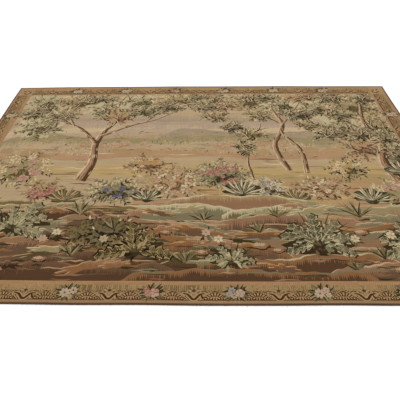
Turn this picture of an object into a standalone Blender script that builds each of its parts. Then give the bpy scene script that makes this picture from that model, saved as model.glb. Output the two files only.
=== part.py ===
"""Flat woven wool rug with a dark sewn edge binding.

Units are metres and +Z is up. The origin is on the floor under the middle of the rug.
X runs along the long edges, and the front long edge is at -Y.
"""
import math

import bmesh
import bpy
from mathutils import Vector

# Driving dimensions: the depth is taken at the middle of the long edges, where it is greatest
RUG_WIDTH = 2.74
RUG_DEPTH = 1.83
CLOTH_THICKNESS = 0.0030
BINDING_WIDTH = 0.0090
BINDING_THICKNESS = 0.0036
BINDING_ROUNDING = 0.0012
SEWING_GAP = 0.0003

# Each long edge bows outward by this much between its ends and its middle
EDGE_BOW = 0.010

# The hand loom leaves small waves along every edge
EDGE_WAVES = (
    # (height of the wave, waves along one metre, phase in radians)
    (0.0009, 1.3, 0.4),
    (0.0004, 2.3, 2.1),
)

# Every edge starts its waves at another phase
PHASE_FRONT = 0.0
PHASE_BACK = 2.6
PHASE_LEFT = 1.2
PHASE_RIGHT = 4.4

# The cloth's top rises and sinks by less than a millimetre where the yarn is packed unevenly
PACKING_WAVES = (
    # (height, waves per metre along X, waves per metre along Y, phase in radians)
    (0.00025, 0.9, 0.6, 0.3),
    (0.00015, -1.7, 2.3, 1.9),
    (0.00010, 3.9, 3.1, 4.2),
)

# How many steps the pieces are cut into along X, along Y and round the binding's folded edge
STEPS_X = 48
STEPS_Y = 32
ROUNDING_STEPS = 3

HALF_WIDTH = RUG_WIDTH / 2
HALF_DEPTH = RUG_DEPTH / 2
CLOTH_HALF_WIDTH = HALF_WIDTH - BINDING_WIDTH - SEWING_GAP
CLOTH_HALF_DEPTH = HALF_DEPTH - BINDING_WIDTH - SEWING_GAP

DARK_BROWN = (0.085, 0.043, 0.020, 1.0)
GOLDEN_TAN = (0.330, 0.240, 0.135, 1.0)
WOOL_ROUGHNESS = 0.95
NEARLY_PARALLEL = 0.99


def clear_scene():
    """Remove the objects that the file starts with."""
    for old in list(bpy.data.objects):
        bpy.data.objects.remove(old, do_unlink=True)


def make_collection(name):
    """A collection for the rug's pieces, linked to the scene."""
    collection = bpy.data.collections.new(name)
    bpy.context.scene.collection.children.link(collection)
    return collection


def make_wool(name, color):
    """Matt wool of one colour."""
    material = bpy.data.materials.new(name)
    material.use_nodes = True
    shader = material.node_tree.nodes["Principled BSDF"]
    shader.inputs["Base Color"].default_value = color
    shader.inputs["Roughness"].default_value = WOOL_ROUGHNESS
    shader.inputs["Metallic"].default_value = 0.0
    return material


def edge_wave(along, phase):
    """The loom's waves at one place along an edge."""
    return sum(
        height * math.sin(2 * math.pi * rate * along + start + phase)
        for height, rate, start in EDGE_WAVES
    )


def lay_point(x, y):
    """Move a point of the true rectangle to where the rug's bowed and wavy outline has it.

    The move grows from nothing at the middle of the rug to its full size at the edges,
    so two pieces that meet along a seam stay parallel to each other.
    """
    side_x = x / HALF_WIDTH
    side_y = y / HALF_DEPTH
    wave_x = edge_wave(y, PHASE_LEFT if x < 0 else PHASE_RIGHT)
    wave_y = edge_wave(x, PHASE_FRONT if y < 0 else PHASE_BACK)
    draw_in = EDGE_BOW * side_x * side_x
    return (
        x + side_x * abs(side_x) * wave_x,
        y + side_y * (abs(side_y) * wave_y - draw_in),
    )


def packing_height(x, y):
    """How much the packed yarn stands up or sinks at one place of the cloth's top."""
    return sum(
        height * math.sin(2 * math.pi * (rate_x * x + rate_y * y) + phase)
        for height, rate_x, rate_y, phase in PACKING_WAVES
    )


def add_slab(name, low, high, thickness, collection, material):
    """A thin box that stands on the floor between two corners, ready to be shaped."""
    size = Vector((high[0] - low[0], high[1] - low[1], thickness))
    middle = Vector((high[0] + low[0], high[1] + low[1], thickness)) / 2
    bpy.ops.mesh.primitive_cube_add(size=1.0)
    slab = bpy.context.object
    slab.name = name
    slab.data.name = name
    for other in slab.users_collection:
        other.objects.unlink(slab)
    collection.objects.link(slab)
    slab.data.materials.append(material)
    shape = bmesh.new()
    shape.from_mesh(slab.data)
    bmesh.ops.scale(shape, vec=size, verts=shape.verts)
    bmesh.ops.translate(shape, vec=middle, verts=shape.verts)
    return slab, shape


def cut_steps(shape, axis, count):
    """Cut the shape into equal steps along one axis, where 0 is X and 1 is Y."""
    along = []
    for edge in shape.edges:
        run = (edge.verts[1].co - edge.verts[0].co).normalized()
        if abs(run[axis]) > NEARLY_PARALLEL:
            along.append(edge)
    bmesh.ops.subdivide_edges(shape, edges=along, cuts=count - 1, use_grid_fill=True)


def lay_and_keep(slab, shape):
    """Move every point to the rug's real outline and give the shape to its object."""
    for vert in shape.verts:
        vert.co.x, vert.co.y = lay_point(vert.co.x, vert.co.y)
    shape.to_mesh(slab.data)
    shape.free()


def make_cloth(collection, material):
    """The woven cloth: one flat face underneath, and uneven by under a millimetre on top."""
    corner = (CLOTH_HALF_WIDTH, CLOTH_HALF_DEPTH)
    slab, shape = add_slab(
        "woven_cloth", (-corner[0], -corner[1]), corner, CLOTH_THICKNESS, collection, material)
    cut_steps(shape, 0, STEPS_X)
    cut_steps(shape, 1, STEPS_Y)
    for vert in shape.verts:
        if vert.co.z > 0:
            vert.co.z += packing_height(vert.co.x, vert.co.y)
    underside = [face for face in shape.faces if face.normal.z < -NEARLY_PARALLEL]
    bmesh.ops.dissolve_faces(shape, faces=underside, use_verts=False)
    lay_and_keep(slab, shape)


def make_tape(name, low, high, axis, count, collection, material):
    """One edge tape, rounded along its outer top edge where it folds over the cloth."""
    slab, shape = add_slab(name, low, high, BINDING_THICKNESS, collection, material)
    across = 1 - axis
    outer = max(low[across], high[across], key=abs)
    folded = [
        edge for edge in shape.edges
        if all(abs(vert.co[across] - outer) < SEWING_GAP and vert.co.z > 0 for vert in edge.verts)
    ]
    bmesh.ops.bevel(
        shape, geom=folded, offset=BINDING_ROUNDING, segments=ROUNDING_STEPS,
        profile=0.5, affect="EDGES", clamp_overlap=True)
    cut_steps(shape, axis, count)
    lay_and_keep(slab, shape)


def make_binding(collection, material):
    """Four tapes: the long ones run the full width, and the short ones fit between them."""
    inner_x = HALF_WIDTH - BINDING_WIDTH
    inner_y = HALF_DEPTH - BINDING_WIDTH
    end_y = inner_y - SEWING_GAP
    tapes = (
        # (name, lowest corner, highest corner, axis that it runs along, steps)
        ("binding_front", (-HALF_WIDTH, -HALF_DEPTH), (HALF_WIDTH, -inner_y), 0, STEPS_X),
        ("binding_back", (-HALF_WIDTH, inner_y), (HALF_WIDTH, HALF_DEPTH), 0, STEPS_X),
        ("binding_left", (-HALF_WIDTH, -end_y), (-inner_x, end_y), 1, STEPS_Y),
        ("binding_right", (inner_x, -end_y), (HALF_WIDTH, end_y), 1, STEPS_Y),
    )
    for name, low, high, axis, count in tapes:
        make_tape(name, low, high, axis, count, collection, material)


def main():
    """Build the cloth and its binding."""
    clear_scene()
    rug = make_collection("wool_rug")
    make_cloth(rug, make_wool("woven wool", GOLDEN_TAN))
    make_binding(rug, make_wool("dark brown wool tape", DARK_BROWN))


main()
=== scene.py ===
"""Looks of the flat woven wool rug: a leafy tapestry field, a scrolled border and a sewn edge tape.

Everything is in metres. The design is drawn as flat patches of dyed yarn, in the order in which
one lies over another, and the patches are then joined into one sheet that lies as the cloth does.
"""
import math
import random

import bmesh
import bpy
import numpy
from mathutils import Matrix, Vector
from mathutils.geometry import delaunay_2d_cdt


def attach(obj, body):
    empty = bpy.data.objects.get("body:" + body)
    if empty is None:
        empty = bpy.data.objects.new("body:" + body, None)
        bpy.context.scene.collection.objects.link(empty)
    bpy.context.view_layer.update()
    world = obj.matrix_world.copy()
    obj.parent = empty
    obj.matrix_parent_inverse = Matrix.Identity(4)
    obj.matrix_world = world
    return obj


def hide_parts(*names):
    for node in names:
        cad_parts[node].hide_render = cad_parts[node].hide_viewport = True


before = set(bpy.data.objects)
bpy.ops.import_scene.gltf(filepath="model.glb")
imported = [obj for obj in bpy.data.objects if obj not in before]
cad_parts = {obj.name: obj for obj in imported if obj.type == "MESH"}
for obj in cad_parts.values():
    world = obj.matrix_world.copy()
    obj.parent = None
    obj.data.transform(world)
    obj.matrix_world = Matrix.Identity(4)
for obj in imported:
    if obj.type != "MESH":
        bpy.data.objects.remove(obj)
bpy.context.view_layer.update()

# The rug's own sizes, as its solids have them
RUG_WIDTH = 2.74
RUG_DEPTH = 1.83
CLOTH_THICKNESS = 0.0030
BINDING_WIDTH = 0.0090
BINDING_THICKNESS = 0.0036
SEWING_GAP = 0.0003
EDGE_BOW = 0.010
EDGE_WAVES = ((0.0009, 1.3, 0.4), (0.0004, 2.3, 2.1))
PHASE_FRONT, PHASE_BACK, PHASE_LEFT, PHASE_RIGHT = 0.0, 2.6, 1.2, 4.4
PACKING_WAVES = ((0.00025, 0.9, 0.6, 0.3), (0.00015, -1.7, 2.3, 1.9), (0.00010, 3.9, 3.1, 4.2))

HALF_WIDTH = RUG_WIDTH / 2
HALF_DEPTH = RUG_DEPTH / 2
CLOTH_X = HALF_WIDTH - BINDING_WIDTH - SEWING_GAP
CLOTH_Y = HALF_DEPTH - BINDING_WIDTH - SEWING_GAP
BORDER = 0.107
FIELD_X = CLOTH_X - BORDER
FIELD_Y = CLOTH_Y - BORDER

# Wool dyes, as the eye sees them in daylight
DYES = {
    "cream": "#baa681",
    "ivory": "#bfae92",
    "pale sky": "#b29c77",
    "beige": "#a58e6b",
    "stone": "#948268",
    "lilac grey": "#a08b72",
    "pale green": "#a69a74",
    "sage": "#897b56",
    "grey green": "#71674a",
    "blue green": "#5c5339",
    "olive": "#6c5c37",
    "deep olive": "#4c3f22",
    "bottle green": "#322c15",
    "khaki": "#988156",
    "gold": "#a98e5c",
    "honey": "#a67e4c",
    "tan": "#9d7c55",
    "rose tan": "#9f7d59",
    "clay": "#866446",
    "rust": "#7c5633",
    "umber": "#5f4630",
    "walnut": "#4c3420",
    "dark brown": "#36220f",
    "blackish brown": "#1e1306",
    "wine brown": "#45250e",
    "coral": "#8d5a49",
    "pink": "#a07863",
    "pale pink": "#a98b72",
    "madder": "#764135",
    "slate blue": "#565466",
    "navy": "#383848",
    "lilac": "#918475",
    "mustard": "#9c7534",
    "border gold": "#977a50",
    "border honey": "#8f704d",
    "border cream": "#9c8459",
    "border white": "#a59074",
    "border olive": "#6a5835",
    "border rose": "#96714e",
}


def linear(hex_color):
    """A colour written as sRGB hex, as linear RGBA."""
    channels = [int(hex_color[i:i + 2], 16) / 255 for i in (1, 3, 5)]
    return [c / 12.92 if c <= 0.04045 else ((c + 0.055) / 1.055) ** 2.4 for c in channels] + [1.0]


def edge_wave(along, phase):
    """The loom's waves at one place along an edge."""
    return sum(h * math.sin(2 * math.pi * rate * along + start + phase) for h, rate, start in EDGE_WAVES)


def lay_point(x, y):
    """Where a point of the true rectangle lies on the rug, whose outline is bowed and wavy."""
    side_x = x / HALF_WIDTH
    side_y = y / HALF_DEPTH
    wave_x = edge_wave(y, PHASE_LEFT if x < 0 else PHASE_RIGHT)
    wave_y = edge_wave(x, PHASE_FRONT if y < 0 else PHASE_BACK)
    draw_in = EDGE_BOW * side_x * side_x
    return (
        x + side_x * abs(side_x) * wave_x,
        y + side_y * (abs(side_y) * wave_y - draw_in),
    )


def packing_height(x, y):
    """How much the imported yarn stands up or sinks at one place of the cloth's top."""
    return sum(
        height * math.sin(2 * math.pi * (rate_x * x + rate_y * y) + phase)
        for height, rate_x, rate_y, phase in PACKING_WAVES
    )


# The camera stands where the photograph was taken, in front of the rug and above it
CAMERA_PLACE = (0.0366, -1.6995, 1.4341)
CAMERA_PITCH = 0.7951
CAMERA_YAW = -0.0203
CAMERA_ROLL = -0.0147
FOCAL_PIXELS = 374.72
PHOTO_PIXELS = 400
SENSOR_MM = 36.0


def make_camera():
    """The photograph's viewpoint."""
    data = bpy.data.cameras.new("camera")
    data.sensor_fit = "HORIZONTAL"
    data.sensor_width = SENSOR_MM
    data.lens = SENSOR_MM * FOCAL_PIXELS / PHOTO_PIXELS
    camera = bpy.data.objects.new("camera", data)
    bpy.context.scene.collection.objects.link(camera)
    aim = (
        Matrix.Rotation(-CAMERA_YAW, 4, "Z")
        @ Matrix.Rotation(math.pi / 2 - CAMERA_PITCH, 4, "X")
        @ Matrix.Rotation(CAMERA_ROLL, 4, "Z")
    )
    camera.matrix_world = Matrix.Translation(CAMERA_PLACE) @ aim
    bpy.context.scene.camera = camera


def new_material(name):
    """A material with its node tree and its shader."""
    material = bpy.data.materials.new(name)
    material.use_nodes = True
    return material, material.node_tree, material.node_tree.nodes["Principled BSDF"]


FLOOR_SIZE = 30.0
FLOOR_DROP = -0.0002
STUDIO_WHITE = "#f9f9f8"
SKY_STRENGTH = 0.82
SKY_TINT = (1.0, 0.99, 1.05, 1.0)
KEY_STRENGTH = 1.09
KEY_ANGLE = math.radians(40)
KEY_TURN = (math.radians(38), 0.0, math.radians(-35))
BACK_STRENGTH = 6.0
BACK_SIZE = 2.4
BACK_PLACE = (0.0, 1.7, 1.6)


def make_studio():
    """A pale floor under soft daylight, a soft key from the front left and a weak lamp at the back."""
    world = bpy.data.worlds.new("studio")
    world.use_nodes = True
    sky = world.node_tree.nodes["Background"]
    sky.inputs["Color"].default_value = SKY_TINT
    sky.inputs["Strength"].default_value = SKY_STRENGTH
    bpy.context.scene.world = world
    bpy.context.scene.view_settings.view_transform = "Standard"

    key = bpy.data.lights.new("key", "SUN")
    key.energy = KEY_STRENGTH
    key.angle = KEY_ANGLE
    lamp = bpy.data.objects.new("key", key)
    lamp.rotation_euler = KEY_TURN
    bpy.context.scene.collection.objects.link(lamp)

    back = bpy.data.lights.new("back", "AREA")
    back.energy = BACK_STRENGTH
    back.size = BACK_SIZE
    box = bpy.data.objects.new("back", back)
    box.location = BACK_PLACE
    bpy.context.scene.collection.objects.link(box)

    bpy.ops.mesh.primitive_plane_add(size=FLOOR_SIZE, location=(0.0, 0.0, FLOOR_DROP))
    floor = bpy.context.object
    floor.name = "floor"
    paint, _, shader = new_material("matt studio paint")
    shader.inputs["Base Color"].default_value = linear(STUDIO_WHITE)
    shader.inputs["Roughness"].default_value = 0.9
    floor.data.materials.append(paint)


# Drawing: patches of dyed yarn

rng = random.Random(21)
patches = []

# A whole turn, near enough for a random start
ROUND = 6.28

# Leaves of a clump and of a bough may reach this far past the field, where they are cut off
OVERLAP = 0.01


class Patch:
    """One flat area of the design.

    turn is how far the colour has passed from dye to second, from 0 to 1, as a number or as a
    function of the place. leafy is 1 where the two dyes meet as small leaves and 0 where they
    meet as upright comb teeth.
    """

    def __init__(self, outline, dye, second, turn, leafy):
        self.outline = outline
        self.shade = 1.0 + rng.uniform(-0.05, 0.05)
        self.dye = dye
        self.second = second or dye
        self.turn = turn
        self.leafy = leafy
        self.low = (min(p[0] for p in outline), min(p[1] for p in outline))
        self.high = (max(p[0] for p in outline), max(p[1] for p in outline))

    def turn_at(self, x, y):
        """How far the colour has passed to the second dye at one place."""
        share = self.turn(x, y) if callable(self.turn) else self.turn
        return min(1.0, max(0.0, share))


def lay(outline, dye, second=None, turn=0.0, leafy=0.0):
    """Add a patch over all that is drawn so far."""
    patches.append(Patch(outline, dye, second, turn, leafy))


def place(points, x, y, angle=0.0, size=1.0):
    """Turn, scale and move a small outline."""
    c = math.cos(angle) * size
    s = math.sin(angle) * size
    return [(x + px * c - py * s, y + px * s + py * c) for px, py in points]


def smooth_path(knots, steps=5):
    """A smooth line through a few knots, each (x, y, width)."""
    line = []
    for i in range(len(knots) - 1):
        before = knots[max(i - 1, 0)]
        start, end = knots[i], knots[i + 1]
        after = knots[min(i + 2, len(knots) - 1)]
        for step in range(steps):
            t = step / steps
            line.append(tuple(
                0.5 * (2 * b + (c - a) * t + (2 * a - 5 * b + 4 * c - d) * t * t
                       + (3 * b - a - 3 * c + d) * t ** 3)
                for a, b, c, d in zip(before, start, end, after)
            ))
    line.append(knots[-1])
    return line


def ribbon(line, left=-0.5, right=0.5):
    """The outline of a band along a line, from one share of its width to another."""
    side_a, side_b = [], []
    for i, (x, y, width) in enumerate(line):
        x0, y0 = line[max(i - 1, 0)][:2]
        x1, y1 = line[min(i + 1, len(line) - 1)][:2]
        run = math.hypot(x1 - x0, y1 - y0) or 1.0
        nx, ny = (y1 - y0) / run, -(x1 - x0) / run
        side_a.append((x + nx * width * left, y + ny * width * left))
        side_b.append((x + nx * width * right, y + ny * width * right))
    return side_a + side_b[::-1]


def ring(radius, count, squash=1.0):
    """A round outline."""
    return [
        (radius * math.cos(2 * math.pi * i / count), radius * squash * math.sin(2 * math.pi * i / count))
        for i in range(count)
    ]


# Half widths of a plain leaf at stations along its length
LEAF_HALF = ((0.0, 0.0), (0.16, 0.68), (0.42, 1.0), (0.74, 0.62), (1.0, 0.0))


def leaf_outline(length, width, curl=0.0):
    """A pointed leaf along +X. curl bends its tip sideways, as a share of its length."""
    upper = [(t * length, 0.5 * w * width + curl * length * t * t) for t, w in LEAF_HALF]
    lower = [(t * length, -0.5 * w * width + curl * length * t * t) for t, w in LEAF_HALF[1:-1]]
    return upper + lower[::-1]


def small_leaf(x, y, angle, length, width, dye):
    """One leaf of a single dye, with five corners."""
    points = (
        (0.0, 0.0), (0.36 * length, 0.5 * width), (length, 0.12 * width),
        (0.70 * length, -0.34 * width), (0.28 * length, -0.46 * width),
    )
    lay(place(points, x, y, angle), dye)


def shaded_leaf(x, y, angle, length, width, dye, light, curl=0.0):
    """One leaf with a light half and a darker half."""
    lay(place(leaf_outline(length, width, curl), x, y, angle), dye)
    half = [(t * length, 0.5 * w * width + curl * length * t * t) for t, w in LEAF_HALF]
    spine = [(t * length, 0.06 * w * width + curl * length * t * t) for t, w in LEAF_HALF[1:-1]]
    lay(place(half + spine[::-1], x, y, angle), light)


def scatter(cx, cy, rx, ry, count, length, dyes):
    """A clump of small leaves: light ones towards the upper left, dark ones below right."""
    for _ in range(count):
        a = rng.uniform(0, 2 * math.pi)
        r = math.sqrt(rng.random())
        x, y = cx + rx * r * math.cos(a), cy + ry * r * math.sin(a)
        if abs(x) > FIELD_X + OVERLAP or abs(y) > FIELD_Y + OVERLAP:
            continue
        tone = 0.5 + 0.45 * (0.5 * math.sin(a) - 0.4 * math.cos(a)) * r + rng.uniform(-0.36, 0.36)
        dye = dyes[min(len(dyes) - 1, max(0, int(tone * len(dyes))))]
        aim = math.atan2(y - cy, x - cx) + rng.uniform(-0.9, 0.9)
        size = length * rng.uniform(0.6, 1.3)
        small_leaf(x, y, aim, size, size * rng.uniform(0.30, 0.46), dye)


def cloud_outline(cx, cy, rx, ry, lobes, depth=0.22):
    """A scalloped blob, as the mass of a tree's crown."""
    start = rng.uniform(0, 2 * math.pi)
    points = []
    for i in range(lobes * 3):
        a = start + 2 * math.pi * i / (lobes * 3)
        swell = 1.0 + depth * (0.6 if i % 3 else -0.6) * rng.uniform(0.6, 1.2)
        points.append((cx + rx * swell * math.cos(a), cy + ry * swell * math.sin(a)))
    return points


# A bough's leaves: their length and how far apart they grow
BOUGH_LEAF = 0.034
BOUGH_STEP = 0.024


def bough(x, y, angle, length, dyes):
    """A bent twig with leaves on both sides: dark ones under it and lighter ones above."""
    dark, shade, middle, light = dyes
    bend = rng.uniform(-0.5, 0.5)
    knots = []
    for i in range(5):
        t = i / 4
        a = angle + bend * t
        knots.append((x + length * t * math.cos(a), y + length * t * math.sin(a), 0.006 - 0.0035 * t))
    lay(ribbon(knots), "umber")
    pairs = max(4, int(length / BOUGH_STEP))
    for i in range(pairs):
        t = (i + 0.6) / pairs
        a = angle + bend * t
        bx, by = x + length * t * math.cos(a), y + length * t * math.sin(a)
        for side in (-1, 1):
            aim = a + side * rng.uniform(0.5, 1.05)
            size = BOUGH_LEAF * rng.uniform(0.75, 1.2) * (1 - 0.3 * t)
            below = math.sin(aim) < 0
            dye = rng.choice((dark, dark, shade) if below else (dark, shade, middle, light))
            if abs(bx) < FIELD_X + OVERLAP and abs(by) < FIELD_Y + OVERLAP:
                small_leaf(bx, by, aim, size, size * rng.uniform(0.34, 0.44), dye)
    small_leaf(bx, by, a, BOUGH_LEAF * 0.8, BOUGH_LEAF * 0.3, middle)


def crown(cx, cy, rx, ry, dyes, leaves, boughs=7, length=0.026):
    """A mass of foliage: a dappled ground, boughs that fan out from its middle, separate leaves."""
    dark, shade, middle, light, sky = dyes
    lay(cloud_outline(cx, cy, rx, ry, 8, 0.34), light, sky, 0.50, 1.0)
    lay(cloud_outline(cx + 0.1 * rx, cy - 0.2 * ry, rx * 0.70, ry * 0.66, 7, 0.3), middle, light, 0.5, 1.0)
    lay(cloud_outline(cx + 0.15 * rx, cy - 0.34 * ry, rx * 0.34, ry * 0.32, 5, 0.3), dark, shade, 0.52, 1.0)
    start = rng.uniform(0, ROUND)
    for i in range(boughs):
        a = start + 2 * math.pi * i / boughs + rng.uniform(-0.3, 0.3)
        bx, by = cx + 0.28 * rx * math.cos(a), cy + 0.28 * ry * math.sin(a)
        reach = math.hypot(rx * math.cos(a), ry * math.sin(a)) * rng.uniform(0.8, 1.1)
        bough(bx, by, a, reach, (dark, shade, middle, light))
    scatter(cx, cy, rx * 1.15, ry * 1.15, leaves, length, (dark, dark, shade, middle, light, "cream"))
    darkest = ("blackish brown", "blackish brown", dark)
    scatter(cx + 0.1 * rx, cy - 0.4 * ry, rx * 0.8, ry * 0.5, leaves // 3, length, darkest)


def cut_to_box(outline, x0, x1, y0, y1):
    """Cut an outline to an upright box."""
    for axis, limit, sign in ((0, x0, 1), (0, x1, -1), (1, y0, 1), (1, y1, -1)):
        if not outline:
            return outline
        kept = []
        for a, b in zip(outline, outline[1:] + outline[:1]):
            inside_a = (a[axis] - limit) * sign >= 0
            inside_b = (b[axis] - limit) * sign >= 0
            if inside_a:
                kept.append(a)
            if inside_a != inside_b:
                t = (limit - a[axis]) / (b[axis] - a[axis])
                meet = [a[0] + (b[0] - a[0]) * t, a[1] + (b[1] - a[1]) * t]
                meet[axis] = limit
                kept.append(tuple(meet))
        outline = kept
    return outline


def ridge(x, rows):
    """The height of a hill's or bank's crest: (height, waves per metre, phase) added up."""
    return sum(h * math.sin(2 * math.pi * rate * x + phase) for h, rate, phase in rows)


BANK_STEPS = 56


def bank(x0, x1, crest, rows, depth, dye, second, foot=-FIELD_Y, rim=None, thick=0.006):
    """A stretch of ground under a wavy crest, whose dye passes into the second one downwards.

    foot is how far down it reaches, and rim is the dye of the lit line along its crest.
    """

    def top(x):
        ends = min(1.0, (x - x0) / 0.12, (x1 - x) / 0.12)
        rough = 0.0030 * math.sin(46 * x + 90 * crest) + 0.0022 * math.sin(107 * x + 31 * crest)
        return crest + ridge(x, rows) + rough - 0.05 * (1 - max(0.0, ends)) ** 2

    def below(x, y):
        return top(min(max(x, x0), x1)) - y

    stations = [x0 + (x1 - x0) * i / BANK_STEPS for i in range(BANK_STEPS + 1)]
    line = [(x, top(x)) for x in stations]
    lay(line + [(x1, foot), (x0, foot)], dye, second, lambda x, y: below(x, y) / depth)
    if rim:
        inner = [(x, y - thick * (1.2 + math.sin(23 * x + crest * 60))) for x, y in line[::-1]]
        lay(line + inner, rim, dye, lambda x, y: 0.35 * below(x, y) / thick)


STREAK_LEAN = 0.04


def streaks(count, x_range, y_range, length, thick, dyes):
    """Long thin uneven lines of another dye, level as the weaver's passes."""
    for _ in range(count):
        x, y = rng.uniform(*x_range), rng.uniform(*y_range)
        run = length * rng.uniform(0.5, 1.5)
        t = thick * rng.uniform(0.6, 1.4)
        stations = [i / 6 - 0.5 for i in range(7)]
        sag = rng.uniform(-0.03, 0.03)
        middle = [sag * run * (1 - 4 * a * a) + rng.uniform(-0.35, 0.35) * t for a in stations]
        half = [t * (0.5 - 2 * a * a) * rng.uniform(0.5, 1.3) for a in stations]
        upper = [(a * run, m + h) for a, m, h in zip(stations, middle, half)]
        lower = [(a * run, m - h) for a, m, h in zip(stations[1:-1], middle[1:-1], half[1:-1])]
        lay(place(upper + lower[::-1], x, y, rng.uniform(-STREAK_LEAN, STREAK_LEAN)), rng.choice(dyes))


def draw_sky():
    """Pale beige and grey bands, each passing into the next."""
    bands = (
        # (top of the band, dye, dye below)
        (0.82, "beige", "stone"),
        (0.68, "stone", "beige"),
        (0.56, "beige", "stone"),
        (0.45, "lilac grey", "pale sky"),
        (0.36, "pale sky", "beige"),
        (0.28, "beige", "khaki"),
    )
    # The first patch is the plain cloth under the whole design
    lay([(-CLOTH_X, -CLOTH_Y), (CLOTH_X, -CLOTH_Y), (CLOTH_X, CLOTH_Y), (-CLOTH_X, CLOTH_Y)], "tan")
    for i, (top, dye, below) in enumerate(bands):
        rows = ((0.010, 0.5, i * 1.3), (0.006, 1.4, i * 2.1))
        bank(-FIELD_X, FIELD_X, top, rows, 0.15, dye, below, foot=0.0)
    streaks(90, (-1.2, 1.2), (0.2, 0.78), 0.30, 0.007, ("pale sky", "stone", "beige", "lilac grey", "sage"))


def draw_far_hills():
    """Lines of low hills, grey, sage and rose, with small strokes for their woods and fields."""
    bank(-FIELD_X, 0.1, 0.33, ((0.035, 0.42, 1.9), (0.010, 1.7, 0.2)), 0.16, "lilac grey", "khaki", 0.0)
    bank(-0.2, FIELD_X, 0.36, ((0.045, 0.36, 3.5), (0.012, 1.3, 2.0)), 0.18, "stone", "sage", 0.0)
    bank(-FIELD_X, FIELD_X, 0.27, ((0.022, 0.8, 0.6), (0.010, 2.1, 1.0)), 0.12, "sage", "beige", 0.0)
    bank(-FIELD_X, FIELD_X, 0.18, ((0.020, 0.7, 2.6), (0.008, 1.9, 0.4)), 0.12, "beige", "rose tan", 0.0)
    lines = ("sage", "khaki", "rose tan", "clay", "beige", "stone")
    streaks(90, (-1.2, 1.2), (0.12, 0.34), 0.16, 0.008, lines)


def draw_woods():
    """The middle distance: rows of soft round clumps, drawn in short curved strokes."""
    tones = ("rose tan", "pale sky", "clay", "khaki", "sage", "umber", "stone", "cream", "olive")
    for _ in range(520):
        x, y = rng.uniform(-1.23, 1.23), rng.uniform(0.03, 0.33)
        wave = math.sin(9 * x + 14 * y) + math.sin(5.3 * x - 21 * y + 1.7)
        aim = 0.5 * math.sin(26 * x + 17 * y) + rng.uniform(-0.5, 0.5)
        if wave > 0.4:
            aim += 1.2
        tone = tones[int((wave + 2) * 1.6 + rng.uniform(0, 3)) % len(tones)]
        size = rng.uniform(0.016, 0.040)
        small_leaf(x, y, aim, size, rng.uniform(0.004, 0.0075), tone)
    rows = (
        # (height in the field, how many, radius, dyes)
        (0.250, 34, 0.028, ("grey green", "sage", "khaki")),
        (0.185, 30, 0.036, ("clay", "rose tan", "beige")),
        (0.110, 26, 0.044, ("sage", "rose tan", "khaki")),
    )
    for height, count, radius, dyes in rows:
        for i in range(count):
            x = -1.22 + 2.44 * (i + rng.uniform(0.1, 0.9)) / count
            if math.sin(x * 7.0 + height * 31) < -0.2:
                continue
            y = height + rng.uniform(-0.02, 0.02)
            r = radius * rng.uniform(0.7, 1.3)
            lay(cloud_outline(x, y, r, r * 0.7, 5), dyes[1], dyes[2], 0.5, 1.0)
            scatter(x, y, r, r * 0.8, 7, 0.016, dyes)


def draw_meadow():
    """The gold and khaki meadow with its low grassy ledges."""
    bank(-FIELD_X, FIELD_X, 0.055, ((0.016, 0.7, 2.2), (0.008, 1.9, 0.4)), 0.14, "beige", "gold")
    bank(-FIELD_X, 0.35, -0.04, ((0.018, 0.9, 0.2), (0.008, 2.3, 1.4)), 0.12, "gold", "beige")
    bank(-0.15, FIELD_X, -0.10, ((0.020, 0.8, 4.0), (0.008, 2.0, 2.4)), 0.16, "khaki", "tan")
    bank(-0.9, 0.2, -0.17, ((0.018, 0.9, 1.0), (0.007, 2.4, 3.0)), 0.14, "gold", "rose tan", rim="beige")
    bank(0.25, FIELD_X, -0.24, ((0.018, 0.8, 2.0), (0.008, 2.2, 0.9)), 0.12, "gold", "rose tan", rim="khaki")
    bank(-FIELD_X, -0.35, -0.02, ((0.014, 0.8, 1.2), (0.007, 2.1, 0.4)), 0.14, "gold", "beige", rim="cream")
    lines = ("gold", "khaki", "tan", "olive", "cream", "clay", "umber")
    streaks(170, (-1.2, 1.2), (-0.42, 0.10), 0.16, 0.006, lines)


def draw_ledges():
    """Pale grassy ledges over shadow, which lead down to the banks like broad steps."""
    ledges = (
        # (left, right, crest, waves, dye, second)
        (-0.20, 0.62, -0.270, ((0.012, 1.1, 0.4), (0.006, 2.9, 1)), "khaki", "clay"),
        (-0.62, 0.22, -0.335, ((0.012, 1.3, 2.2), (0.006, 3.1, 2)), "pale green", "grey green"),
        (0.12, 0.86, -0.350, ((0.012, 1.2, 4.0), (0.006, 2.8, 0)), "pale green", "olive"),
    )
    for x0, x1, crest, rows, dye, second in ledges:
        bank(x0, x1, crest, rows, 0.055, dye, second, rim="cream", thick=0.008)


def draw_trunk(knots, dyes=("walnut", "clay", "rose tan", "cream")):
    """A trunk or branch with a dark side, a lit side and strokes of bark."""
    dark, middle, warm, light = dyes
    line = smooth_path(knots)
    lay(ribbon(line), middle, dark, 0.3)
    lay(ribbon(line, 0.12, 0.5), dark, middle, 0.2)
    lay(ribbon(line, -0.5, -0.28), light, warm, 0.3)
    lay(ribbon(line, -0.2, -0.04), warm)
    for i in range(0, len(line) - 3, 2):
        x, y, width = line[i]
        if width < 0.016:
            continue
        x1, y1, _ = line[i + 2]
        aim = math.atan2(y1 - y, x1 - x)
        for side in (-0.42, -0.12, 0.14, 0.40):
            shift = side * width + rng.uniform(-0.004, 0.004)
            bx, by = x + math.sin(aim) * shift, y - math.cos(aim) * shift
            bark = rng.choice((dark, warm, light, middle))
            small_leaf(bx, by, aim + rng.uniform(-0.15, 0.15), rng.uniform(0.03, 0.06), 0.006, bark)


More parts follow.
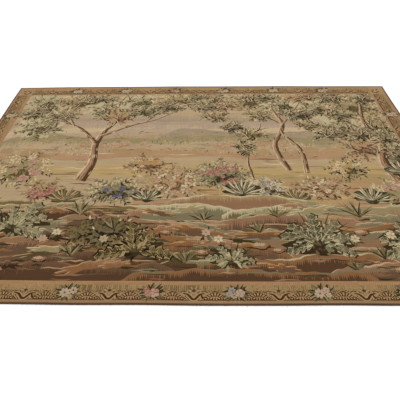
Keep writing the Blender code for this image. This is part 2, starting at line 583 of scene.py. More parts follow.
CROWN_GREENS = ("bottle green", "blue green", "grey green", "sage", "pale sky")
CROWN_OLIVES = ("deep olive", "olive", "sage", "khaki", "cream")
CROWN_ROSES = ("umber", "clay", "rose tan", "khaki", "beige")
CROWN_GREYS = ("deep olive", "grey green", "sage", "pale green", "pale sky")


def draw_back_trees():
    """Crowns and trunks that stand against the sky."""
    trunks = (
        # The oak's stem and its limbs, left of the middle
        ((-0.68, -0.14, 0.080), (-0.64, 0.02, 0.056), (-0.655, 0.20, 0.046), (-0.61, 0.38, 0.038)),
        ((-0.65, 0.20, 0.032), (-0.78, 0.36, 0.024), (-0.94, 0.46, 0.016), (-1.08, 0.60, 0.009)),
        ((-0.84, 0.40, 0.016), (-0.90, 0.54, 0.012), (-0.86, 0.68, 0.008), (-0.90, 0.80, 0.006)),
        ((-0.62, 0.34, 0.030), (-0.55, 0.50, 0.022), (-0.58, 0.66, 0.013), (-0.53, 0.80, 0.008)),
        ((-0.64, 0.28, 0.026), (-0.46, 0.40, 0.018), (-0.30, 0.47, 0.013), (-0.13, 0.60, 0.008)),
        ((-0.36, 0.45, 0.012), (-0.28, 0.58, 0.009), (-0.30, 0.72, 0.006)),
        # Two slim stems that cross, right of the middle
        ((0.52, -0.06, 0.044), (0.47, 0.18, 0.032), (0.55, 0.40, 0.026), (0.50, 0.62, 0.016),
         (0.55, 0.80, 0.008)),
        ((0.62, -0.08, 0.036), (0.62, 0.14, 0.027), (0.53, 0.34, 0.021), (0.63, 0.54, 0.015),
         (0.74, 0.74, 0.008)),
        ((0.53, 0.42, 0.016), (0.42, 0.52, 0.012), (0.30, 0.58, 0.008), (0.20, 0.68, 0.005)),
        ((0.28, 0.60, 0.010), (0.16, 0.58, 0.008), (0.08, 0.48, 0.005)),
        # A sapling between them and the bushes
        ((0.31, -0.14, 0.020), (0.29, 0.02, 0.014), (0.31, 0.18, 0.011), (0.27, 0.36, 0.007)),
        # An old tree by the right edge
        ((1.14, -0.20, 0.086), (1.09, 0.02, 0.060), (1.14, 0.22, 0.048), (1.09, 0.42, 0.034),
         (1.13, 0.66, 0.018)),
        ((1.11, 0.28, 0.030), (0.99, 0.42, 0.021), (0.90, 0.56, 0.013), (0.80, 0.68, 0.007)),
        ((1.10, 0.10, 0.024), (1.18, 0.24, 0.016), (1.21, 0.40, 0.010), (1.20, 0.50, 0.006)),
    )
    behind = (
        # (x, y, half width, half height, dyes, leaves, boughs)
        (-1.10, 0.70, 0.17, 0.11, CROWN_GREYS, 60, 7),
        (-1.06, 0.40, 0.15, 0.12, CROWN_GREYS, 60, 7),
        (-0.86, 0.70, 0.16, 0.10, CROWN_OLIVES, 60, 7),
        (-0.66, 0.60, 0.14, 0.10, CROWN_GREYS, 50, 6),
        (-0.42, 0.71, 0.16, 0.09, CROWN_GREYS, 50, 6),
        (-0.16, 0.72, 0.16, 0.09, CROWN_OLIVES, 55, 6),
        (0.10, 0.73, 0.15, 0.08, CROWN_GREYS, 50, 6),
        (0.34, 0.70, 0.14, 0.10, CROWN_OLIVES, 50, 6),
        (0.58, 0.66, 0.14, 0.12, CROWN_GREYS, 55, 7),
        (0.82, 0.62, 0.17, 0.13, CROWN_GREYS, 70, 8),
        (1.06, 0.64, 0.18, 0.14, CROWN_OLIVES, 80, 9),
        (0.92, 0.38, 0.14, 0.12, CROWN_GREYS, 60, 7),
        (1.16, 0.38, 0.11, 0.16, CROWN_OLIVES, 70, 8),
        (1.00, 0.16, 0.13, 0.11, CROWN_ROSES, 60, 7),
        (1.18, 0.08, 0.09, 0.14, CROWN_GREENS, 60, 6),
    )
    before = (
        (-1.14, 0.56, 0.10, 0.08, CROWN_GREENS, 40, 5),
        (-0.96, 0.52, 0.12, 0.06, CROWN_GREENS, 45, 5),
        (-0.74, 0.74, 0.13, 0.05, CROWN_GREENS, 40, 5),
        (-0.56, 0.50, 0.10, 0.07, CROWN_ROSES, 40, 5),
        (-0.40, 0.56, 0.11, 0.05, CROWN_GREENS, 40, 5),
        (-0.22, 0.62, 0.11, 0.06, CROWN_GREENS, 40, 5),
        (0.00, 0.76, 0.11, 0.04, CROWN_GREENS, 30, 4),
        (0.06, 0.63, 0.10, 0.06, CROWN_GREENS, 40, 6),
        (0.11, 0.50, 0.08, 0.05, CROWN_OLIVES, 35, 5),
        (0.20, 0.64, 0.09, 0.05, CROWN_ROSES, 30, 4),
        (0.44, 0.74, 0.12, 0.05, CROWN_GREENS, 40, 5),
        (0.40, 0.52, 0.09, 0.06, CROWN_OLIVES, 35, 5),
        (0.68, 0.52, 0.10, 0.06, CROWN_GREENS, 40, 7),
        (0.72, 0.75, 0.12, 0.05, CROWN_ROSES, 35, 5),
        (0.94, 0.74, 0.10, 0.06, CROWN_GREENS, 40, 7),
        (0.96, 0.52, 0.10, 0.06, CROWN_GREENS, 40, 7),
        (1.18, 0.73, 0.08, 0.07, CROWN_GREENS, 35, 6),
        (1.18, 0.26, 0.07, 0.08, CROWN_GREENS, 35, 4),
        (0.84, 0.30, 0.11, 0.05, CROWN_GREENS, 40, 7),
        (1.04, 0.30, 0.08, 0.06, CROWN_GREENS, 35, 6),
        (0.72, 0.40, 0.08, 0.05, CROWN_OLIVES, 30, 4),
        (0.22, 0.38, 0.07, 0.05, CROWN_GREENS, 30, 4),
        (0.34, 0.30, 0.08, 0.05, CROWN_OLIVES, 30, 4),
        (0.28, 0.16, 0.05, 0.07, CROWN_GREENS, 30, 4),
    )
    for row in behind:
        crown(*row)
    for knots in trunks:
        draw_trunk(knots)
    for row in before:
        crown(*row, length=0.024)
    for cx, cy, rx, ry, *_ in behind + before:
        for _ in range(4):
            x, y = cx + rx * rng.uniform(-0.8, 0.8), cy + ry * rng.uniform(-0.8, 0.7)
            draw_twig(x, y, rng.uniform(0.05, 0.11))


def draw_twig(x, y, reach):
    """A bare forked twig, dark with a pale line beside it."""
    aim = rng.uniform(-0.4, 3.5)
    dye = rng.choice(("umber", "dark brown", "walnut", "deep olive"))
    for turn in (-0.35, 0.45):
        steps = [(0.33 * i * reach, aim + turn * i * 0.33) for i in range(4)]
        knots = [
            (x + run * math.cos(a), y + run * math.sin(a), 0.0085 - 0.002 * i)
            for i, (run, a) in enumerate(steps)
        ]
        lay(ribbon(knots, -1.3, -0.4), "pale sky")
        lay(ribbon(knots), dye)


def blossom(x, y, radius, petals, dye, shade, heart):
    """An open flower seen from above: petals, a shadow between them and a heart."""
    start = rng.uniform(0, ROUND)
    lay(place(ring(radius * 0.72, 8), x, y), shade)
    half = min(0.34, 2.3 / petals)
    for i in range(petals):
        a = start + 2 * math.pi * i / petals
        points = ((0.12, 0.0), (0.60, half), (0.94, half * 0.7), (1.0, -half * 0.3), (0.62, -half * 0.8))
        lay(place(points, x, y, a, radius), dye)
    lay(place(ring(radius * 0.22, 5), x, y), heart)


def rose(x, y, radius, dyes):
    """A full rose: two rings of petals over a deep ground, which shows between them."""
    deep, middle, light = dyes
    start = rng.uniform(0, ROUND)
    lay(place(ring(radius * 0.88, 8), x, y, start), deep)
    for count, reach, size in ((5, 0.60, 0.37), (3, 0.25, 0.25)):
        for i in range(count):
            a = start + 2 * math.pi * i / count + reach
            px, py = x + radius * reach * math.cos(a), y + radius * reach * math.sin(a)
            lay(place(ring(radius * size, 6, 0.80), px, py, a + 1.57), middle if i % 2 else light)


LOBES = 4


def broad_leaf(x, y, angle, length, width, dyes, curl):
    """A broad lobed leaf: pale curled rim, shade along its spine and pale veins."""
    rim, light, dark, deep = dyes

    def bend(t, w):
        return t * length, 0.5 * w * width + curl * length * t * t

    def swell(t):
        return math.sin(math.pi * (0.14 + 0.72 * t)) ** 0.8

    def edge(side, grow):
        points = []
        for i in range(LOBES):
            t = (i + 0.3) / (LOBES + 0.3)
            wide = side * grow * swell(t + 0.08)
            points += [(t, wide * 0.40), (t + 0.08, wide * 0.86)]
            points += [(t + 0.19, wide * 1.04), (t + 0.20, wide * 0.62)]
        return points

    def whole(grow, sides=(1, -1)):
        upper = edge(1, grow) if 1 in sides else []
        lower = edge(-1, grow)[::-1] if -1 in sides else []
        return [bend(t, w) for t, w in [(0.0, 0.0)] + upper + [(0.98 + 0.08 * grow, 0.0)] + lower]

    lay(place([(px + 0.006, py - 0.007) for px, py in whole(1.05)], x, y, angle), deep)
    lay(place(whole(1.0), x, y, angle), rim)
    lay(place(whole(0.80), x, y, angle), light, dark, 0.42)
    lay(place(whole(0.72, (-1,)), x, y, angle), dark, deep, 0.36)
    spine = [bend(t / 5, 0.09 * (1 - t / 5)) for t in range(6)]
    spine += [bend(t / 5, -0.06 * (1 - t / 5)) for t in range(5, -1, -1)]
    lay(place(spine, x, y, angle), rim)
    for i in range(LOBES):
        t = (i + 0.3) / (LOBES + 0.3)
        for side in (1, -1):
            foot = bend(t, 0.0)
            tip = bend(t + 0.17, side * 0.80 * swell(t + 0.08))
            lay(place([foot, tip, (foot[0] + 0.035 * length, foot[1])], x, y, angle), rim)


def tuft(x, y, count, height, spread, dyes):
    """A tuft of grass or reed: bent blades that fan out from one foot."""
    for i in range(count):
        a = math.pi / 2 + spread * ((i + 0.5) / count - 0.5) * 2 + rng.uniform(-0.08, 0.08)
        tall = height * rng.uniform(0.65, 1.15)
        bend = -0.35 * (a - math.pi / 2)
        points = (
            (0.0, 0.0035), (0.5 * tall, 0.0040 - 0.12 * bend * tall), (tall, -0.5 * bend * tall),
            (0.5 * tall, -0.0050 - 0.12 * bend * tall), (0.0, -0.0035),
        )
        lay(place(points, x + rng.uniform(-0.01, 0.01), y, a), dyes[i % len(dyes)])


def star_plant(x, y, size, dyes):
    """Long pale leaves that fan out over a dark hollow, with dark gaps between them."""
    deep, shade, pale, light = dyes
    lay(cloud_outline(x, y + 0.25 * size, size * 0.75, size * 0.42, 6, 0.3), deep, shade, 0.3, 1.0)
    count = 15
    for i in range(count):
        a = math.pi * (-0.06 + 1.12 * (i + 0.5) / count) + rng.uniform(-0.06, 0.06)
        reach = size * rng.uniform(0.72, 1.1)
        dye = (pale, light, shade)[i % 3]
        lay(place(leaf_outline(reach, reach * 0.15, 0.18 * math.cos(a)), x, y, a), dye)
        edge = leaf_outline(reach * 0.9, reach * 0.045, 0.2 * math.cos(a))
        lay(place(edge, x, y - 0.002, a - 0.07), deep)


def draw_shrubs():
    """Flowering shrubs and plants of the middle ground, which carry the bright accents."""
    shrubs = (
        # (x, y, half width, half height, leaf dyes, flower dyes, flowers)
        (0.12, -0.09, 0.15, 0.10, CROWN_GREENS, ("madder", "coral", "pink"), 15),
        (-1.04, -0.04, 0.15, 0.13, CROWN_OLIVES, ("coral", "pink", "pale pink"), 12),
        (0.86, -0.04, 0.10, 0.08, CROWN_OLIVES, ("mustard", "honey", "cream"), 10),
        (-0.32, 0.00, 0.10, 0.07, CROWN_ROSES, ("mustard", "honey", "cream"), 9),
        (0.36, -0.20, 0.12, 0.07, CROWN_GREYS, ("slate blue", "lilac", "ivory"), 9),
        (-0.46, -0.22, 0.14, 0.09, CROWN_GREENS, ("navy", "slate blue", "lilac"), 8),
        (1.10, -0.26, 0.15, 0.12, CROWN_OLIVES, ("coral", "pink", "pale pink"), 13),
        (-0.86, -0.22, 0.10, 0.07, CROWN_ROSES, ("madder", "coral", "pink"), 8),
    )
    faded = (("umber", "rose tan", "cream"), ("clay", "beige", "cream"), ("clay", "rose tan", "beige"))
    for x, y, rx, ry, count in ((-0.14, -0.15, 0.17, 0.12, 22), (0.68, -0.20, 0.13, 0.08, 13)):
        crown(x, y, rx, ry, CROWN_ROSES, 50, 8, 0.026)
        for _ in range(count):
            a, r = rng.uniform(0, ROUND), math.sqrt(rng.random()) * 0.85
            dyes = rng.choice(faded)
            rose(x + rx * r * math.cos(a), y + ry * r * math.sin(a), rng.uniform(0.020, 0.036), dyes)
        scatter(x, y, rx, ry, 24, 0.03, ("walnut", "olive", "sage"))
    for x, y, rx, ry, greens, flowers, count in shrubs:
        crown(x, y, rx, ry, greens, 50, 6, 0.024)
        deep, middle, light = flowers
        for _ in range(count):
            a, r = rng.uniform(0, ROUND), math.sqrt(rng.random()) * 0.8
            fx, fy = x + rx * r * math.cos(a), y + ry * r * math.sin(a)
            if deep in ("madder", "coral"):
                rose(fx, fy, rng.uniform(0.015, 0.027), flowers)
            else:
                blossom(fx, fy, rng.uniform(0.014, 0.021), 5, rng.choice((middle, light)), deep, "mustard")
    pale = ("bottle green", "grey green", "pale green", "cream")
    warm = ("deep olive", "olive", "khaki", "beige")
    for x, y, size, dyes in (
        (0.24, -0.25, 0.13, pale), (-0.72, -0.30, 0.12, warm), (0.93, -0.30, 0.12, pale),
        (-0.28, -0.29, 0.10, pale), (-1.16, -0.34, 0.12, pale), (0.52, -0.30, 0.10, warm),
        (1.17, -0.08, 0.12, pale),
    ):
        star_plant(x, y, size, dyes)


BANK_LEAVES = ("pale green", "sage", "grey green", "bottle green")
WARM_LEAVES = ("beige", "khaki", "olive", "deep olive")
COOL_LEAVES = ("pale green", "grey green", "blue green", "bottle green")
DEEP_LEAVES = ("khaki", "olive", "deep olive", "blackish brown")
THICKET_LEAVES = ("blackish brown", "bottle green", "blue green", "olive", "deep olive")


def plant(x, y, leaves, length, dyes, start, end):
    """A plant of broad leaves on short stalks over a dark hollow, the outer leaves first."""
    hollow = cloud_outline(x, y + 0.18 * length, length * 0.80, length * 0.36, 9, 0.4)
    lay(hollow, "bottle green", "dark brown", 0.5)
    tuft(x, y, 15, length * 1.15, 1.25, ("bottle green", "blue green", "deep olive"))
    order = sorted(range(leaves), key=lambda i: -abs(i - (leaves - 1) / 2))
    for i in order:
        a = math.radians(start + (end - start) * i / max(1, leaves - 1) + rng.uniform(-7, 7))
        size = length * rng.uniform(0.62, 1.05)
        fx, fy = x + 0.16 * length * math.cos(a), y + 0.14 * length * math.sin(a)
        broad_leaf(fx, fy, a, size, size * rng.uniform(0.44, 0.56), dyes, -0.24 * math.cos(a))
    scatter(x, y + 0.10 * length, length * 0.55, length * 0.26, 34, 0.036, dyes[::-1] + dyes[-1:])


def draw_ground():
    """The banks of the foreground, from the meadow's edge down to the border."""
    banks = (
        # (left, right, crest, crest waves, depth of the fade, dye, second dye, rim)
        (-FIELD_X, -0.30, -0.31, ((0.030, 0.7, 1.0), (0.008, 2.9, 0)), 0.08, "olive", "walnut", "khaki"),
        (0.20, FIELD_X, -0.36, ((0.026, 0.8, 2.4), (0.007, 2.7, 1)), 0.12, "sage", "clay", "pale green"),
        (-0.75, 0.62, -0.42, ((0.026, 0.9, 5.0), (0.007, 2.5, 2)), 0.10, "clay", "umber", "beige"),
        (-FIELD_X, -0.42, -0.43, ((0.022, 0.9, 3.1), (0.006, 3.3, 0)), 0.10, "umber", "walnut", "rose tan"),
        (0.40, FIELD_X, -0.47, ((0.024, 1.0, 0.3), (0.008, 2.6, 4)), 0.10, "rust", "umber", "honey"),
        (-0.90, 0.30, -0.50, ((0.020, 1.1, 2.0), (0.007, 3.0, 2)), 0.09, "grey green", "deep olive",
         "pale green"),
        (0.05, 1.05, -0.535, ((0.020, 1.2, 0.9), (0.006, 3.4, 1)), 0.09, "grey green", "clay", "pale green"),
        (-FIELD_X, -0.60, -0.55, ((0.020, 1.0, 5.5), (0.006, 3.1, 0)), 0.09, "clay", "umber", "rose tan"),
        (-0.80, 0.45, -0.590, ((0.018, 1.3, 1.2), (0.006, 2.8, 3)), 0.08, "rust", "umber", "honey"),
        (0.55, FIELD_X, -0.60, ((0.020, 1.1, 4.4), (0.006, 3.2, 2)), 0.09, "clay", "rust", "beige"),
        (-1.05, 0.10, -0.650, ((0.014, 1.4, 0.2), (0.005, 3.7, 1)), 0.06, "umber", "walnut", "clay"),
        (0.00, 0.95, -0.665, ((0.018, 1.2, 2.6), (0.005, 3.5, 2)), 0.07, "rust", "walnut", "pale green"),
        (-FIELD_X, -0.10, -0.705, ((0.010, 1.5, 2.2), (0.004, 3.9, 0)), 0.07, "umber", "walnut", "rust"),
        (0.60, FIELD_X, -0.700, ((0.014, 1.3, 5.2), (0.004, 3.6, 1)), 0.07, "clay", "umber", "beige"),
        (-0.35, 0.80, -0.742, ((0.010, 1.2, 0.8), (0.004, 4.1, 2)), 0.05, "rust", "walnut", "grey green"),
    )
    for x0, x1, crest, rows, depth, dye, second, rim in banks:
        bank(x0, x1, crest, rows, depth, dye, second, rim=rim)
        lines = ("umber", "walnut", "clay", "grey green", "rust", "deep olive", "rose tan", "bottle green")
        streaks(20, (x0 + 0.1, x1 - 0.1), (crest - 0.09, crest - 0.01), 0.12, 0.010, lines)


def clod(x, y, rx, ry, dye, second, rim):
    """A ragged patch of turf or earth, lit along its top and darker towards its foot."""
    blob = cloud_outline(0.0, 0.0, rx, ry, 7, 0.5)
    lean = rng.uniform(-0.30, 0.30)
    low = y - 0.5 * ry
    lay(place(blob, x - 0.004, y + 0.005, lean), rim)
    lay(place(blob, x, y, lean), dye, second, lambda px, py: 1.0 - (py - low) / (2 * ry))


def draw_clods():
    """Patches of turf, earth and moss that break up the banks."""
    kinds = (
        # (dye, second dye, rim): the last three only lie on the nearer banks
        ("sage", "grey green", "pale green"),
        ("clay", "rust", "rose tan"),
        ("tan", "clay", "beige"),
        ("khaki", "sage", "cream"),
        ("rust", "umber", "honey"),
        ("olive", "deep olive", "khaki"),
        ("umber", "dark brown", "clay"),
        ("blue green", "bottle green", "sage"),
    )
    for _ in range(72):
        y = rng.uniform(-0.745, -0.33)
        x = rng.uniform(-FIELD_X, FIELD_X)
        kind = kinds[int(rng.random() * (8 if y < -0.5 else 5))]
        clod(x, y, rng.uniform(0.045, 0.13), rng.uniform(0.010, 0.026), *kind)


def stone(x, y, size, dyes=("dark brown", "clay", "beige")):
    """A low stone: dark foot, warm body and lit cap."""
    foot, body, cap = dyes
    lay(cloud_outline(x + 0.08 * size, y - 0.16 * size, size, 0.48 * size, 4, 0.2), foot)
    lay(cloud_outline(x, y, size * 0.95, 0.46 * size, 4, 0.2), body, foot, 0.3)
    lay(cloud_outline(x - 0.12 * size, y + 0.14 * size, size * 0.68, 0.22 * size, 4, 0.25), cap, body, 0.3)


def draw_litter():
    """Stones and fallen branches on the banks."""
    for x, y, size in (
        (-1.16, -0.60, 0.050), (-1.04, -0.66, 0.036), (-0.52, -0.58, 0.040), (-0.16, -0.52, 0.030),
        (0.30, -0.60, 0.042), (0.38, -0.63, 0.028), (0.80, -0.52, 0.036), (1.16, -0.54, 0.044),
        (-0.74, -0.68, 0.034), (0.02, -0.64, 0.032), (0.92, -0.74, 0.034), (-0.92, -0.74, 0.030),
    ):
        stone(x, y, size)
    bark = ("walnut", "clay", "rose tan", "beige")
    for knots in (
        ((-0.66, -0.615, 0.022), (-0.52, -0.600, 0.020), (-0.38, -0.606, 0.017), (-0.20, -0.585, 0.008)),
        ((-0.48, -0.600, 0.014), (-0.42, -0.575, 0.011), (-0.38, -0.560, 0.006)),
        ((0.26, -0.480, 0.016), (0.38, -0.470, 0.016), (0.52, -0.482, 0.012), (0.62, -0.470, 0.006)),
        ((-1.22, -0.500, 0.018), (-1.08, -0.490, 0.015), (-0.98, -0.505, 0.007)),
    ):
        draw_trunk(knots, bark)


def draw_front_plants():
    """Broad-leaved plants, reeds and small flowers on the banks."""
    crown(-0.46, -0.52, 0.17, 0.085, THICKET_LEAVES, 70, 8)
    plant(-0.94, -0.50, 6, 0.19, BANK_LEAVES, 180, -5)
    plant(0.58, -0.60, 7, 0.20, COOL_LEAVES, 190, -12)
    plant(-0.30, -0.64, 5, 0.15, DEEP_LEAVES, 175, 10)
    plant(1.05, -0.62, 5, 0.18, BANK_LEAVES, 185, 25)
    plant(-1.13, -0.72, 4, 0.15, WARM_LEAVES, 130, 0)
    plant(0.16, -0.70, 4, 0.11, BANK_LEAVES, 160, 15)
    for x, y, height in (
        (-0.62, -0.40, 0.11), (0.02, -0.44, 0.09), (0.82, -0.42, 0.12), (-1.15, -0.42, 0.13),
        (0.30, -0.52, 0.08), (-0.60, -0.66, 0.10), (0.86, -0.68, 0.09), (1.18, -0.44, 0.12),
        (-0.06, -0.70, 0.09), (0.72, -0.74, 0.06), (-0.42, -0.50, 0.09), (0.40, -0.42, 0.09),
    ):
        tuft(x, y, 13, height, 0.95, ("bottle green", "blue green", "olive", "sage"))
    flowers = (
        (-0.70, -0.52, "cream"), (-0.76, -0.56, "pale pink"), (0.10, -0.56, "cream"),
        (0.04, -0.52, "pale pink"), (0.94, -0.54, "cream"), (0.76, -0.56, "cream"),
        (-0.46, -0.56, "beige"), (-1.02, -0.58, "pink"),
    )
    for x, y, dye in flowers:
        scatter(x, y, 0.05, 0.03, 12, 0.026, ("bottle green", "blue green", "grey green"))
        blossom(x, y, 0.024, 6, dye, "stone", "mustard")


def draw_field():
    """The whole field, from the sky down to the nearest bank."""
    draw_sky()
    draw_far_hills()
    draw_woods()
    draw_meadow()
    draw_back_trees()
    draw_shrubs()
    draw_ledges()
    draw_ground()
    draw_clods()
    draw_litter()
    draw_front_plants()
    for item in patches[1:]:
        item.outline = cut_to_box(item.outline, -FIELD_X, FIELD_X, -FIELD_Y, FIELD_Y)


# The border: one strip pattern, the same way up on the front and back and turned on the two sides

# From one bunch of flowers to the next
REPEAT = 0.366

BANDS = (
    # (from, to, dye, second dye, turn): distances across the strip from its scrolled side
    (0.000, 0.107, "tan", "gold", 0.3),
    (0.000, 0.0130, "border honey", "tan", 0.25),
    (0.0130, 0.0165, "walnut", "umber", 0.5),
    (0.0165, 0.064, "border gold", "border olive", 0.30),
    (0.060, 0.088, "border gold", "border olive", 0.40),
    (0.088, 0.102, "border rose", "tan", 0.35),
    (0.102, 0.107, "border gold", "border rose", 0.35),
)


class Strip:
    """Maps distances along and across a border strip to the rug."""

    def __init__(self, origin, along, across):
        self.origin, self.along, self.across = origin, along, across

    def spot(self, s, w):
        """The rug's point at a distance along and across the strip."""
        return (
            self.origin[0] + s * self.along[0] + w * self.across[0],
            self.origin[1] + s * self.along[1] + w * self.across[1],
        )

    def lay(self, points, dye, second=None, turn=0.0):
        """Add a patch given as (along, across) points."""
        lay([self.spot(s, w) for s, w in points], dye, second, turn)

    def petal(self, s, w, degrees, length, width, dye):
        """Add a pointed petal that starts at one point of the strip and aims at an angle."""
        self.lay(place(leaf_outline(length, width), s, w, math.radians(degrees)), dye)

    def dot(self, s, w, radius, dye):
        """Add a small round patch."""
        self.lay([(s + px, w + py) for px, py in ring(radius, 6)], dye)

    def curl(self, s, w, degrees, size, turn_way, dye, width=0.16):
        """Add a C-shaped curl."""
        self.lay(hook(s, w, math.radians(degrees), size, turn_way, width), dye)


# How far a curl turns, in radians, and in how many steps
HOOK_SWEEP = 4.2
HOOK_STEPS = 6


def hook(x, y, angle, size, turn_way, width=0.16):
    """A C-shaped curl that thins towards its ends."""
    line = []
    for i in range(HOOK_STEPS + 1):
        t = i / HOOK_STEPS
        a = turn_way * HOOK_SWEEP * t
        r = size * (1 - 0.72 * t)
        line.append((r * math.cos(a), r * math.sin(a), size * width * (0.35 + math.sin(math.pi * t) * 0.9)))
    turned = [place([(px, py)], x, y, angle)[0] + (w,) for px, py, w in line]
    return ribbon(turned)


# One arm of the V, as (along, across, width) from its foot outwards
BRACKET_ARM = (
    (-0.001, 0.0195, 0.0095), (0.007, 0.0210, 0.0100), (0.019, 0.0350, 0.0105),
    (0.028, 0.0430, 0.0085), (0.046, 0.0470, 0.0050),
)


def draw_bracket(strip, s):
    """A dark wide V with pale edges, petals in its hollow and a dark diamond over it."""
    for side in (1, -1):
        for step, dye in (
            (0.0115, "border cream"), (0.0160, "umber"), (0.0215, "border cream"), (0.0265, "wine brown"),
        ):
            near, far = s + side * (step + 0.004), s + side * (step + 0.021)
            middle = (near + far) / 2
            stroke = [(near, 0.0165, 0.0035), (middle, 0.0255, 0.0040), (far, 0.0385 - step * 0.25, 0.0028)]
            strip.lay(ribbon(stroke), dye)
    arms = [smooth_path([(s + side * a, w, width) for a, w, width in BRACKET_ARM], 3) for side in (1, -1)]
    for half, dye in ((0.95, "border cream"), (0.5, "wine brown")):
        for line in arms:
            strip.lay(ribbon(line, -half, half), dye)
    for degrees, dye in (
        (38, "border cream"), (142, "border cream"), (64, "clay"), (116, "clay"), (90, "border rose"),
    ):
        strip.petal(s, 0.0290, degrees, 0.0185, 0.0072, dye)
    for side in (1, -1):
        strip.petal(s + side * 0.005, 0.0555, 90 - side * 66, 0.0285, 0.0135, "umber")
        strip.petal(s + side * 0.007, 0.0562, 90 - side * 66, 0.0240, 0.0088, "border cream")
        strip.petal(s + side * 0.004, 0.0665, 90 - side * 38, 0.0170, 0.0080, "khaki")
        strip.petal(s + side * 0.030, 0.0570, 90 - side * 90, 0.0190, 0.0056, "umber")
        strip.dot(s + side * 0.044, 0.0650, 0.0036, "clay")
    strip.lay([(s, 0.0525), (s + 0.0100, 0.0605), (s, 0.0685), (s - 0.0100, 0.0605)], "walnut")
    strip.dot(s, 0.0735, 0.0030, "umber")


def oval(s, w, across, up, angles):
    """Points of an oval about one point of a strip."""
    return [(s + across * math.cos(a), w + up * math.sin(a)) for a in angles]


def draw_shell(strip, s):
    """A fan of pale petals with brown gaps over a row of brown teeth, and two curls above it."""
    half_turn = [math.pi * i / 10 for i in range(11)]
    fan = oval(s, 0.0165, 0.047, 0.0345, half_turn) + oval(s, 0.0165, 0.026, 0.0170, half_turn[::-1])
    strip.lay(fan, "umber", "wine brown", 0.70)
    for i in range(9):
        a = math.pi * (0.07 + 0.86 * i / 8)
        points = []
        for share, half in ((0.60, 0.05), (0.94, 0.105), (1.06, 0.0), (0.94, -0.105), (0.60, -0.05)):
            points += oval(s, 0.0165, 0.044 * share, 0.0320 * share, [a + half])
        strip.lay(points, "border gold" if i % 2 else "border cream")
    for k in range(-3, 4):
        at = s + 0.0115 * k
        tooth = [(at - 0.0038, 0.0160), (at + 0.0038, 0.0160), (at, 0.0325 - 0.0012 * abs(k))]
        strip.lay(tooth, "wine brown")
    for k in (-2.5, -1.5, -0.5, 0.5, 1.5, 2.5):
        strip.dot(s + 0.0115 * k, 0.0235, 0.0028, "border white" if abs(k) == 1.5 else "border rose")
    for side in (1, -1):
        strip.curl(s + side * 0.016, 0.0605, 90 - side * 50, 0.0130, -side, "umber", 0.36)
        strip.curl(s + side * 0.016, 0.0605, 90 - side * 50, 0.0120, -side, "border cream", 0.14)
        strip.dot(s + side * 0.016, 0.0600, 0.0034, "umber")
        strip.petal(s + side * 0.028, 0.0500, 90 - side * 62, 0.0240, 0.0070, "umber")
        strip.dot(s + side * 0.034, 0.0690, 0.0036, "clay")
        strip.petal(s + side * 0.050, 0.0190, 90 - side * 25, 0.0300, 0.0085, "wine brown")
        strip.petal(s + side * 0.057, 0.0175, 90 - side * 40, 0.0220, 0.0055, "border cream")
    strip.dot(s, 0.0560, 0.0040, "wine brown")
    strip.dot(s, 0.0690, 0.0046, "umber")
    strip.dot(s, 0.0690, 0.0022, "border cream")


# The kinds of bunch, in the order in which they follow each other
SPRAYS = ("white", "pink", "mixed", "blush")


def draw_spray(strip, s, kind):
    """A small bunch of flowers with dark leaves, upright on the rug whichever strip it is on."""
    cx, cy = strip.spot(s, 0.050)
    leaves = (
        # (angle in degrees, length, dye, light dye)
        (12, 0.048, "bottle green", "grey green"), (36, 0.052, "bottle green", "blue green"),
        (58, 0.050, "bottle green", "sage"), (82, 0.042, "blue green", "bottle green"),
        (112, 0.034, "bottle green", "olive"), (142, 0.042, "blue green", "grey green"),
        (172, 0.052, "bottle green", "olive"), (198, 0.048, "bottle green", "sage"),
        (226, 0.042, "blue green", "bottle green"), (256, 0.036, "deep olive", "olive"),
        (286, 0.038, "bottle green", "sage"), (314, 0.044, "bottle green", "grey green"),
        (340, 0.050, "blue green", "olive"),
    )
    lay(cloud_outline(cx, cy - 0.002, 0.044, 0.025, 6, 0.4), "bottle green", "blackish brown", 0.4, 1.0)
    for degrees, length, dye, light in leaves:
        a = math.radians(degrees + rng.uniform(-9, 9))
        bx, by = cx + 0.012 * math.cos(a), cy + 0.008 * math.sin(a)
        shaded_leaf(bx, by, a, length * rng.uniform(0.9, 1.2), 0.016, dye, light, rng.uniform(-0.15, 0.15))
    if kind == "white":
        blossom(cx + 0.026, cy + 0.010, 0.019, 7, "border white", "blue green", "walnut")
        blossom(cx - 0.010, cy - 0.001, 0.025, 8, "border white", "stone", "madder")
        blossom(cx + 0.016, cy - 0.020, 0.012, 6, "border cream", "stone", "coral")
    elif kind == "pink":
        rose(cx - 0.022, cy + 0.010, 0.018, ("madder", "coral", "pink"))
        rose(cx + 0.012, cy - 0.002, 0.027, ("madder", "pink", "pale pink"))
        blossom(cx - 0.014, cy - 0.014, 0.012, 5, "pink", "madder", "cream")
    elif kind == "mixed":
        blossom(cx - 0.018, cy + 0.014, 0.016, 6, "lilac", "blue green", "navy")
        blossom(cx - 0.032, cy - 0.006, 0.015, 6, "lilac", "stone", "slate blue")
        blossom(cx - 0.010, cy - 0.014, 0.015, 6, "border white", "blue green", "walnut")
        rose(cx + 0.016, cy - 0.001, 0.024, ("clay", "pale pink", "border white"))
    else:
        blossom(cx + 0.022, cy + 0.013, 0.016, 7, "pale pink", "lilac", "coral")
        blossom(cx + 0.028, cy - 0.012, 0.014, 6, "border white", "lilac", "coral")
        blossom(cx - 0.008, cy - 0.003, 0.025, 8, "border white", "pale pink", "madder")


def uneven(turn):
    """A turn from one dye to the other that drifts along and across the border."""

    def drift(x, y):
        return turn + 0.20 * math.sin(9.1 * x + 6.7 * y + 90 * turn) * math.sin(4 * x - 5 * y)

    return drift


# The small filling between the border's larger figures
FILLINGS = 12
FILLING_DYES = ("khaki", "border cream", "border olive", "khaki", "border cream", "clay")


